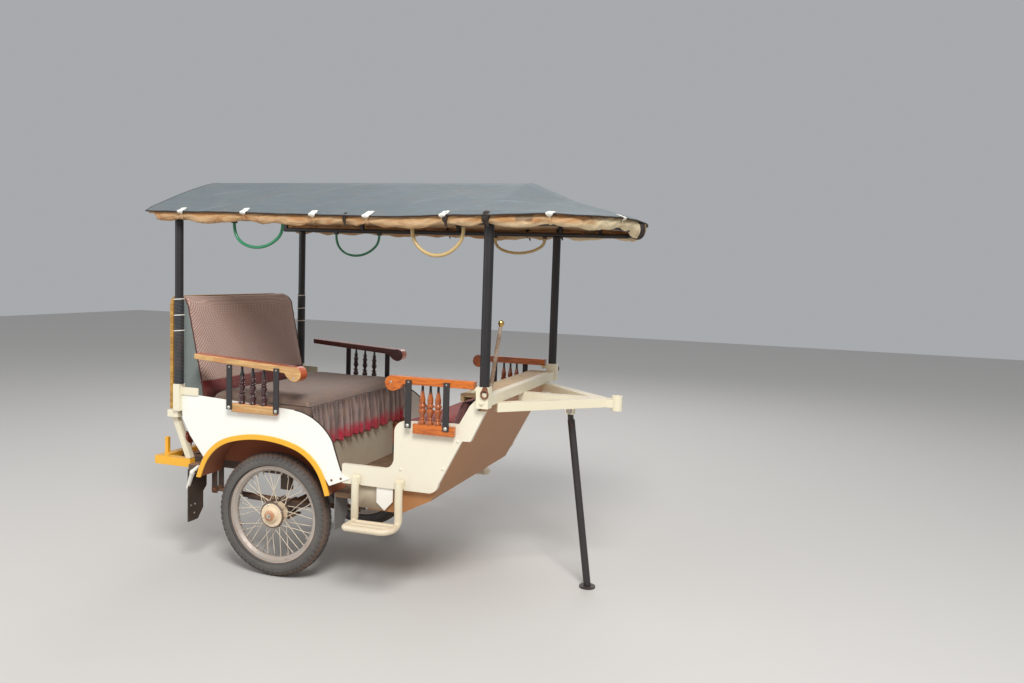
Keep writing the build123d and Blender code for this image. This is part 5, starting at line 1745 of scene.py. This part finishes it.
@dataclass
class Armrest:
    """One armrest: a scrolled rail over a foot block, with three turned spindles between them."""

    place: Place
    side: Side
    face: float = 550
    block_inner: float = 525
    spindle_y: float = 537
    arc_steps: int = 12
    turning_steps: int = 28

    WIDTH: ClassVar[dict[Place, float]] = {Place.REAR: 58, Place.FRONT: 40}
    LOW: ClassVar[dict[Place, float]] = {Place.REAR: 982, Place.FRONT: 977}
    SLOPE: ClassVar[dict[Place, float]] = {Place.REAR: 0.07, Place.FRONT: 0}
    SLOPE_FOOT: ClassVar[dict[Place, float]] = {Place.REAR: 110, Place.FRONT: 0}
    BLOCK: ClassVar[dict[Place, tuple[float, ...]]] = {Place.REAR: (-172, 69, 784, 825),
                                                       Place.FRONT: (747, 937, 767, 810)}
    SPINDLES: ClassVar[dict[Place, tuple[float, ...]]] = {Place.REAR: (-120, -62, -3),
                                                          Place.FRONT: (785, 822, 858)}
    TURNING: ClassVar[dict[Place, Profile]] = {
        Place.REAR: ((0.0, 14), (0.035, 15), (0.07, 11.5), (0.10, 12), (0.17, 15.5), (0.24, 12), (0.27, 8.5),
                     (0.29, 15), (0.315, 15), (0.335, 9), (0.37, 8.5), (0.45, 14.5), (0.50, 14.5), (0.525, 9),
                     (0.545, 14), (0.565, 14), (0.585, 9), (0.63, 13), (0.69, 13), (0.72, 8.5), (0.78, 11),
                     (0.86, 7), (0.93, 5.5), (1.02, 5.5)),
        Place.FRONT: ((0.0, 14), (0.04, 16), (0.085, 15), (0.10, 11), (0.12, 11), (0.14, 13), (0.16, 9),
                      (0.20, 8.5), (0.26, 12.5), (0.33, 16.5), (0.38, 16), (0.405, 10.5), (0.42, 10.5), (0.45, 15.5),
                      (0.49, 16), (0.52, 12.5), (0.535, 10.5), (0.56, 13), (0.64, 13), (0.76, 9), (0.86, 6),
                      (1.02, 5))}

    def _outline(self) -> list[tuple[float, float]]:
        """Gives the rail's side view, scroll included, in millimetres."""
        low = self.LOW[self.place]
        if self.place is Place.REAR:
            rise = self.SLOPE[self.place] * (110 + 377)
            return [(-377, low + rise), (-377, low + rise + 26), (150, low + 30),
                    *arc_points((150, low + 30), (196, low), (158, low - 36), self.arc_steps),
                    *arc_points((158, low - 36), (128, low - 22), (110, low), self.arc_steps)]
        return [(1021, low + 33), (1021, low), (700, low),
                *arc_points((700, low), (678, low - 22), (648, low - 33), self.arc_steps),
                *arc_points((648, low - 33), (611, low), (655, low + 33), self.arc_steps)]

    def _rail(self, shop: Workshop) -> None:
        """Makes the rail and its foot block, with rounded edges."""
        outer = self.side.value * self.face
        inner = self.side.value * (self.face - self.WIDTH[self.place])
        outline = self._outline()
        near = [at(x, outer, z) for x, z in outline]
        far = [at(x, inner, z) for x, z in outline]
        form = Form().grid([near, far], around=True).cap(near, flip=True).cap(far)
        x0, x1, z0, z1 = self.BLOCK[self.place]
        form.block(at(x0, min(self.side.value * self.block_inner, outer), z0),
                   at(x1, max(self.side.value * self.block_inner, outer), z1))
        rail = form.piece(f"{self.place.value}_armrest_rail_{self.side.word}", 40)
        clean(rail)
        bevel = rail.modifiers.new("edges", "BEVEL")
        bevel.width = 0.0042 if self.place is Place.REAR else 0.003
        bevel.segments = 3
        bevel.limit_method = "ANGLE"
        bevel.angle_limit = math.radians(40)
        rail.modifiers.new("shading", "WEIGHTED_NORMAL").weight = 50
        finish = f"rail_{self.side.word}" if self.place is Place.REAR else "orange"
        slot = "armrest_wood" if self.place is Place.REAR else "armrest_orange"
        shop.add(rail, finish, slot, replaces=(f"{self.place.value}_armrest_{self.side.word}",))

    def _spindles(self, shop: Workshop) -> None:
        """Turns the three spindles."""
        base = self.BLOCK[self.place][3]
        form = Form()
        for x in self.SPINDLES[self.place]:
            tall = self.LOW[self.place] - base + self.SLOPE[self.place] * (self.SLOPE_FOOT[self.place] - x)
            profile = [(share * tall * MM, radius * MM) for share, radius in smooth_profile(
                self.TURNING[self.place], 3)]
            form.lathe(profile, at(x, self.side.value * self.spindle_y, base), Vector((0, 0, 1)),
                       self.turning_steps)
        shop.add(form.piece(f"{self.place.value}_spindles_{self.side.word}", 50),
                 f"{self.place.value}_spindle",
                 "armrest_wood" if self.place is Place.REAR else "armrest_orange")

    def build(self, shop: Workshop) -> None:
        """Makes the armrest."""
        self._rail(shop)
        self._spindles(shop)


@dataclass
class ArmrestBars:
    """The flat black bars beside the armrests, with their bolts and the small screws of the scrolls."""

    face: float = 556
    rear_bars: tuple[float, float] = (-178, 72)
    front_bars: tuple[float, float] = (726, 901)

    def build(self, shop: Workshop) -> None:
        """Dresses the bars and adds the bolts and screws."""
        shop.dress("rear_armrest_bars", "black", 0.001)
        shop.dress("front_armrest_bars", "black", 0.001)
        screws = Form()
        small = Form()
        for side in Side:
            out = Vector((0, side.value, 0))
            for bars, low, high in ((self.rear_bars, 806, 992), (self.front_bars, 802, 988)):
                for x in bars:
                    screws.lathe(((0, 0.0), (0, 0.0085), (0.0012, 0.0085), (0.0014, 0.0)),
                                 at(x, side.value * self.face, low), out, 20)
                    screws.dome(at(x, side.value * (self.face + 1.3), low), out, 0.0068, 0.0045)
                    small.dome(at(x, side.value * self.face, high), out, 0.004, 0.002)
            small.dome(at(641, side.value * 550, 983), out, 0.0055, 0.002)
            small.dome(at(158, side.value * 550, 962), out, 0.0055, 0.002)
        shop.add(screws.piece("armrest_bolts"), "bright", "black_steel")
        shop.add(small.piece("armrest_screws"), "zinc", "black_steel")


@dataclass
class Roof:
    """Canopy cloth and lining over the roof frame, rolled rain curtains, ties and the posts."""

    rear: float = -610
    brk: float = 1090
    knee: float = 1290
    front: float = 1604
    corner: float = 1475
    half: float = 595
    eave: float = 1700
    crown_radius: float = 600
    crown_angle: float = 17
    slope_angle: float = 24
    nose_tube_inset: float = 40
    roll_inset: float = 23
    butt: float = -588
    visor: Profile = ((-610, 1.0), (1090, 1.0), (1290, 0.56), (1604, 0.10))
    bows: tuple[float, ...] = (-590, -90, 500, 1080, 1290)
    eave_line: Profile = ((-610, 3), (-419, 2), (-81, 0), (272, -5), (528, -8), (688, -8), (877, 0),
                          (1098, 4), (1311, 12), (1475, 5), (1640, 3))
    ties: tuple[float, ...] = (-419, -81, 272, 530, 880, 1330)
    nose_tie: float = 11.8
    straps: tuple[tuple[float, float], ...] = ((419, 0.8), (883, 1.1), (1060, 1.5))

    @property
    def slope_radius(self) -> float:
        """The radius of the roof's flatter slopes."""
        crown, slope = math.radians(self.crown_angle), math.radians(self.slope_angle)
        return (self.half - self.crown_radius * math.sin(crown)) / (math.sin(slope) - math.sin(crown))

    @property
    def nose_radius(self) -> float:
        """The radius of the bowed front edge in plan."""
        deep = self.front - self.corner
        return (self.half ** 2 + deep ** 2) / (2 * deep)

    def nose_x(self, y: float, inset: float) -> float:
        """Gives how far forward the bowed front edge is, a distance inside it."""
        reach = self.nose_radius
        return self.front - reach + math.sqrt((reach - inset) ** 2 - y * y)

    def rise(self, y: float) -> float:
        """Gives the canopy's height over its eave at a distance from the middle, in millimetres."""
        crown = math.radians(self.crown_angle)
        slope = math.radians(self.slope_angle)
        knee = self.crown_radius * math.sin(crown)
        drop = self.slope_radius * (math.cos(crown) - math.cos(slope))
        y = abs(y)
        if y <= knee:
            return drop + self.crown_radius * (math.sqrt(1 - (y / self.crown_radius) ** 2) - math.cos(crown))
        lean = math.asin(min(1.0, math.sin(crown) + (y - knee) / self.slope_radius))
        return max(0.0, self.slope_radius * (math.cos(lean) - math.cos(slope)))

    @staticmethod
    def along(table: Profile, x: float) -> float:
        """Gives the value of a table of places and values at a place, on straight lines between them."""
        for (x0, s0), (x1, s1) in zip(table[:-1], table[1:]):
            if x <= x1:
                return s0 + (s1 - s0) * (x - x0) / (x1 - x0)
        return table[-1][1]

    def lift(self, x: float, y: float) -> float:
        """Gives how far the uneven eave stands above its straight line; it fades towards the middle."""
        off = 1 - abs(y) / self.half
        return self.along(self.eave_line, x if y < 0 else x - 120) * ease(1 - 5 * off)

    def sag(self, x: float, y: float) -> float:
        """Gives how slack the cloth is between two bows, from 0 at a bow to 1 midway."""
        bows = (*self.bows, self.nose_x(y, self.nose_tube_inset))
        for a, b in zip(bows[:-1], bows[1:]):
            if a <= x <= b:
                return math.sin(math.pi * (x - a) / (b - a))
        return 0.0

    def height(self, x: float, y: float, sag: float = 7, edge: float = 0) -> float:
        """Gives the height of the canopy cloth.

        Args:
            x: The place along the carriage.
            y: The place across it.
            sag: The sag between bows.
            edge: How far the cloth's edge turns down.

        Returns:
            The height over the ground, in millimetres.
        """
        off = max(0.0, 1 - abs(y) / self.half)
        slack = sag * self.sag(x, y) * math.sin(math.pi * min(1.0, off * 1.4)) ** 0.5 if off > 0 else 0
        rim = min(off * self.half, max(0.0, self.nose_x(min(abs(y), self.half), 0) - x))
        lip = edge * ease(1 - rim / 42)
        return self.eave + self.along(self.visor, x) * self.rise(y) + self.lift(x, y) - slack - lip

    def _sheet(self, drop: float, inset: float, sag: float, edge: float) -> list[list[Vector]]:
        """Gives the rows of one canopy sheet.

        Args:
            drop: How far it lies under the outer line, in millimetres.
            inset: How far in from the edge it ends.
            sag: The sag between bows.
            edge: How far the edge turns down.

        Returns:
            The rows of points, from the rear to the front.
        """
        flutter = Waves(3, (0.52, 0.23, 0.11))
        zones = [(k / 110, 0) for k in range(110)] + [(k / 22, 1) for k in range(22)]
        zones += [(k / 36, 2) for k in range(37)]
        rows = []
        for share, zone in zones:
            row = []
            for j in range(89):
                y = (self.half - inset) * (2 * j / 88 - 1)
                starts = (self.rear + inset, self.brk, self.knee, self.nose_x(y, inset))
                x = starts[zone] + (starts[zone + 1] - starts[zone]) * share
                turn = edge * (1 + 0.3 * flutter(x * MM + y * MM))
                row.append(at(x, y, self.height(x, y, sag, turn) - drop))
            rows.append(row)
        return rows

    def _canopy(self, shop: Workshop) -> None:
        """Makes the grey outer cloth, its tan lining and the sewn hem."""
        for name, finish, drop, inset, sag, edge in (("canopy_cloth", "tarp", 0.8, 0.0, 7.0, 5.0),
                                                     ("canopy_lining", "lining", 6.5, 6.0, 7.0, 1.0)):
            rows = self._sheet(drop, inset, sag, edge)
            cloth = Form().grid(rows).piece(name, 60)
            thick = cloth.modifiers.new("cloth", "SOLIDIFY")
            thick.thickness = 0.0016
            thick.offset = 0
            shop.add(cloth, finish, "tarp", replaces=("canopy",))
        hem = Form()
        edge_rows = self._sheet(2.5, 0.0, 7.0, 5.0)
        for path in ([row[0] for row in edge_rows], [row[-1] for row in edge_rows], edge_rows[0], edge_rows[-1]):
            hem.tube(list(path), 0.0032, 6)
        shop.add(hem.piece("canopy_hem"), "hem_tape", "tarp")

    def _roll_line(self, side: Side) -> list[tuple[float, float, Vector, float]]:
        """Gives the rolled curtain's line: under the eave, round the corner and along the front.

        Args:
            side: Which side's curtain.

        Returns:
            The x and y of each point, the way out from the roof there, and the distance from the rear.
        """
        reach = self.nose_radius - self.roll_inset
        centre = self.front - self.nose_radius
        beside = self.half - self.roll_inset
        turn = math.asin(beside / reach)
        plan = [(self.rear + 4 + 7 * k, beside) for k in range(int((centre + reach * math.cos(turn)
                                                                   - self.rear - 4) / 7))]
        steps = int(reach * (turn - math.radians(1.4)) / 7)
        plan += [(centre + reach * math.cos(a), reach * math.sin(a))
                 for a in (turn + (math.radians(1.4) - turn) * k / steps for k in range(steps + 1))]
        for _ in range(14):
            plan = [plan[0], *(((a[0] + 2 * b[0] + c[0]) / 4, (a[1] + 2 * b[1] + c[1]) / 4)
                               for a, b, c in zip(plan[:-2], plan[1:-1], plan[2:])), plan[-1]]
        line = []
        gone = 0.0
        for i, (x, y) in enumerate(plan):
            (xa, ya), (xb, yb) = plan[max(i - 1, 0)], plan[min(i + 1, len(plan) - 1)]
            way = Vector((xb - xa, yb - ya, 0)).normalized()
            gone += math.hypot(x - plan[max(i - 1, 0)][0], y - plan[max(i - 1, 0)][1])
            line.append((x, side.value * y, Vector((-way.y, side.value * way.x, 0)), gone))
        return line

    def _tie_places(self, side: Side) -> list[tuple[float, float]]:
        """Gives the x and y of the points of the roll's line that its ties hold."""
        reach = self.nose_radius - self.roll_inset
        turn = math.radians(self.nose_tie)
        return [(x, side.value * (self.half - self.roll_inset)) for x in self.ties] + [
            (self.front - self.nose_radius + reach * math.cos(turn), side.value * reach * math.sin(turn))]

    def _roll(self, shop: Workshop, side: Side) -> None:
        """Makes one rolled rain curtain that bellies down between its ties."""
        belly = Waves(31 + side.value, (0.47, 0.26, 0.15))
        crease = Waves(41 + side.value, (0.061, 0.029, 0.12))
        held = [*self._tie_places(side), *((x, side.value * (self.half - self.roll_inset))
                                           for x, _ in self.straps)]
        rows = []
        for x, y, out, gone in self._roll_line(side):
            top = self.height(x, y) - 11
            near = min(math.hypot(x - tx, y - ty) for tx, ty in held)
            slack = ease(near / 85)
            swell = ease((170 - abs(y)) / 90) * (side is Side.RIGHT) if x > self.knee else 0.0
            butt = 0.30 + 0.70 * ease((x - self.butt) / 45) if abs(y) > self.half - 60 else 1.0
            tall = (37 + slack * (12 + 9 * belly(gone * MM)) + 25 * swell) * butt
            wide = (13 + 4.0 * slack + 8 * swell) * (0.5 + 0.5 * butt)
            ring = []
            for k in range(30):
                t = 2 * math.pi * k / 30
                fold = math.sin(4 * t + gone * 0.055 + 2.2 * math.sin(gone * 0.009))
                fold = (0.05 + 0.07 * (1 - slack)) * (1 - 0.6 * swell) * math.copysign(abs(fold) ** 0.7, fold)
                size = 1 + 0.05 * crease(gone * MM + 0.4 * math.sin(t)) * (0.4 + slack) + fold
                away = wide * math.sin(t) * size
                up = tall / 2 * math.cos(t) * size
                ring.append(at(x, y, top - tall / 2 + up) + out * away * MM)
            rows.append(ring if side is Side.LEFT else ring[::-1])
        form = Form().grid(rows, around=True, flip=True)
        for row, other, flip in ((rows[0], rows[1], False), (rows[-1], rows[-2], True)):
            middle = sum(row, Vector()) / len(row)
            way = (middle - sum(other, Vector()) / len(other)).normalized()
            rings = [[p.lerp(middle, f) + way * d for p in row]
                     for f, d in ((0.0, 0.0), (0.12, 0.002), (0.3, 0.0005), (0.42, 0.002), (0.62, 0.0005),
                                  (0.75, 0.002), (0.97, 0.0))]
            form.grid(rings, around=True, flip=flip)
        roll = form.piece(f"rain_curtain_{side.word}", 70)
        shop.add(roll, "roll", "curtain", replaces=(f"curtain_roll_{side.word}", "curtain_roll_front"))

    def _ribbon(self, form: Form, x: float, y: float, out: Vector, rng: random.Random) -> None:
        """Adds one flat cloth tie: from the roll out past the eave and up onto the canopy.

        Args:
            form: What the tie is added to.
            x: The roll's place along the carriage there.
            y: The roll's place across it.
            out: The way out from the roof.
            rng: Where its unevenness is drawn from.
        """
        side = 1 if y > 0 else -1
        way = Vector((out.y * side, -out.x * side, 0))
        base = Vector((AXLE_X + x * MM, y * MM, 0))
        lean = rng.uniform(-0.2, 1.0)
        half = rng.uniform(14.5, 18)
        rows = []
        for away, over, slant, share in ((15, -14, -3, 0.5), (20, -9, -2, 0.7), (26.5, -5, 0, 0.92),
                                         (27.5, 0.5, 1, 1.0), (22, 3.2, 3, 1.0), (10, 3.4, 7, 1.0),
                                         (0, 3.4, 10, 0.97), (-8, 3.0, 13, 0.9)):
            row = []
            for k in range(7):
                along = slant * lean + half * share * (k / 3 - 1)
                spot = base + (out * (away + 1.2 * math.sin(k * 1.9 + away)) + way * along) * MM
                px, py = (spot.x - AXLE_X) / MM, max(-595.0, min(595.0, spot.y / MM))
                level = self.height(px, py, 7, 5) + over + 0.8 * math.sin(k * 1.3 + away * 0.4)
                row.append(Vector((spot.x, spot.y, level * MM)))
            rows.append(row)
        form.grid(rows, flip=side > 0)

    def _ties(self, shop: Workshop) -> None:
        """Makes the white cloth ties that hold the rolls, the black straps and the band at the nose."""
        ties = Form()
        bands = Form()
        straps = Form()
        rng = random.Random(4)
        for side in Side:
            line = self._roll_line(side)
            for tx, ty in self._tie_places(side):
                x, y, out, _ = min(line, key=lambda spot: math.hypot(spot[0] - tx, spot[1] - ty))
                self._ribbon(ties, x, y, out, rng)
                top = self.height(x, y) - 9
                bands.tube([at(x, y, top - 20 + 20.5 * math.cos(t)) + out * 15.5 * math.sin(t) * MM
                            for t in (math.tau * k / 24 for k in range(25))], 0.0062, 8, 0.3)
            for x, size in self.straps:
                y = self.half - self.roll_inset
                top = self.height(x, side.value * y) - 6
                loop = [at(x + 5 * math.sin(t + 1), side.value * (y + (16 + 3 * size) * math.sin(t)),
                           top - 18 + (18 + 3 * size) * math.cos(t)) for t in (math.tau * k / 22 for k in range(23))]
                straps.tube(loop, 0.0085 * size, 8, 0.3)
                path = [at(x + 9 * size + 3 * math.sin(k), side.value * (y + 19 - 1.2 * k), top - 8 - 7 * k)
                        for k in range(8)]
                straps.tube(path, [w * size for w in (0.007, 0.009, 0.0105, 0.011, 0.010, 0.0105, 0.009, 0.005)],
                            8, 0.35)
        flaps = ties.piece("curtain_ties", 60)
        thick = flaps.modifiers.new("cloth", "SOLIDIFY")
        thick.thickness = 0.0014
        thick.offset = 0
        shop.add(flaps, "tie", "tarp")
        shop.add(bands.piece("curtain_bands"), "roll", "curtain")
        shop.add(straps.piece("curtain_straps"), "strap", "tarp")
        band = Form()
        x = self.nose_x(0, self.roll_inset)
        for k, (y, tall, wide) in enumerate(((-62, 34, 26), (-50, 37, 28), (-36, 35, 26), (-22, 38, 29),
                                             (-6, 35, 27), (10, 37, 28), (26, 33, 25), (40, 30, 22))):
            middle = (self.nose_x(y, self.roll_inset), self.height(x, y) - 12 - tall)
            band.tube([at(middle[0] + wide * math.sin(t), y + 3 * math.cos(2 * t + k), middle[1] + tall * math.cos(t))
                       for t in (math.tau * i / 30 for i in range(31))], 0.0088, 8, 0.45)
        shop.add(band.piece("nose_band"), "strap", "tarp")

    def _posts(self, shop: Workshop) -> None:
        """Dresses the posts and frame and ties the cords round the rear sleeves."""
        shop.dress("roof_posts", "post")
        shop.dress("roof_frame", "post")
        cords = Form()
        sleeves = Form()
        low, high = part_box("post_sleeves")
        for side in Side:
            foot = at(-480, side.value * 525, low.z / MM)
            laps = [(k * 0.0085, 0.0213 + 0.0007 * (k % 2)) for k in range(int((high.z - low.z) / 0.0085) + 1)]
            sleeves.lathe(((0, 0.0196), *laps, (laps[-1][0], 0.0196)), foot, Vector((0, 0, 1)), 32)
            for z in (1215, 1142, 1290):
                ring = [at(-480 + 23 * math.cos(t), side.value * 525 + 23 * math.sin(t), z + 2 * math.cos(t))
                        for t in (2 * math.pi * k / 28 for k in range(29))]
                cords.tube(ring, 0.0022, 8)
        shop.add(sleeves.piece("wound_sleeves", 60), "tape", "sleeve_tape", replaces=("post_sleeves",))
        shop.add(cords.piece("sleeve_ties"), "tie", "sleeve_tape")

    def build(self, shop: Workshop) -> None:
        """Makes the roof."""
        self._canopy(shop)
        for side in Side:
            self._roll(shop, side)
        self._ties(shop)
        self._posts(shop)
        shop.dress("flag_staff", "staff")


def main() -> None:
    """Builds the scene in order and reports each piece."""
    logging.basicConfig(level=logging.INFO, format="%(name)s %(message)s")
    shop = Workshop()
    Studio().build()
    for hose in HOSES:
        hose.build(shop)
    armrests = [Armrest(place, side) for place in Place for side in Side]
    assemblies = [*(WireWheel(side) for side in Side), RunningGear(), BodyShell(), RearSeat(), FrontSeat(),
                  *armrests, ArmrestBars(), Roof()]
    for assembly in assemblies:
        LOG.info("assembly %s", type(assembly).__name__)
        assembly.build(shop)
    LOG.info("%d pieces", len(shop.pieces))


if __name__ == "__main__":
    main()
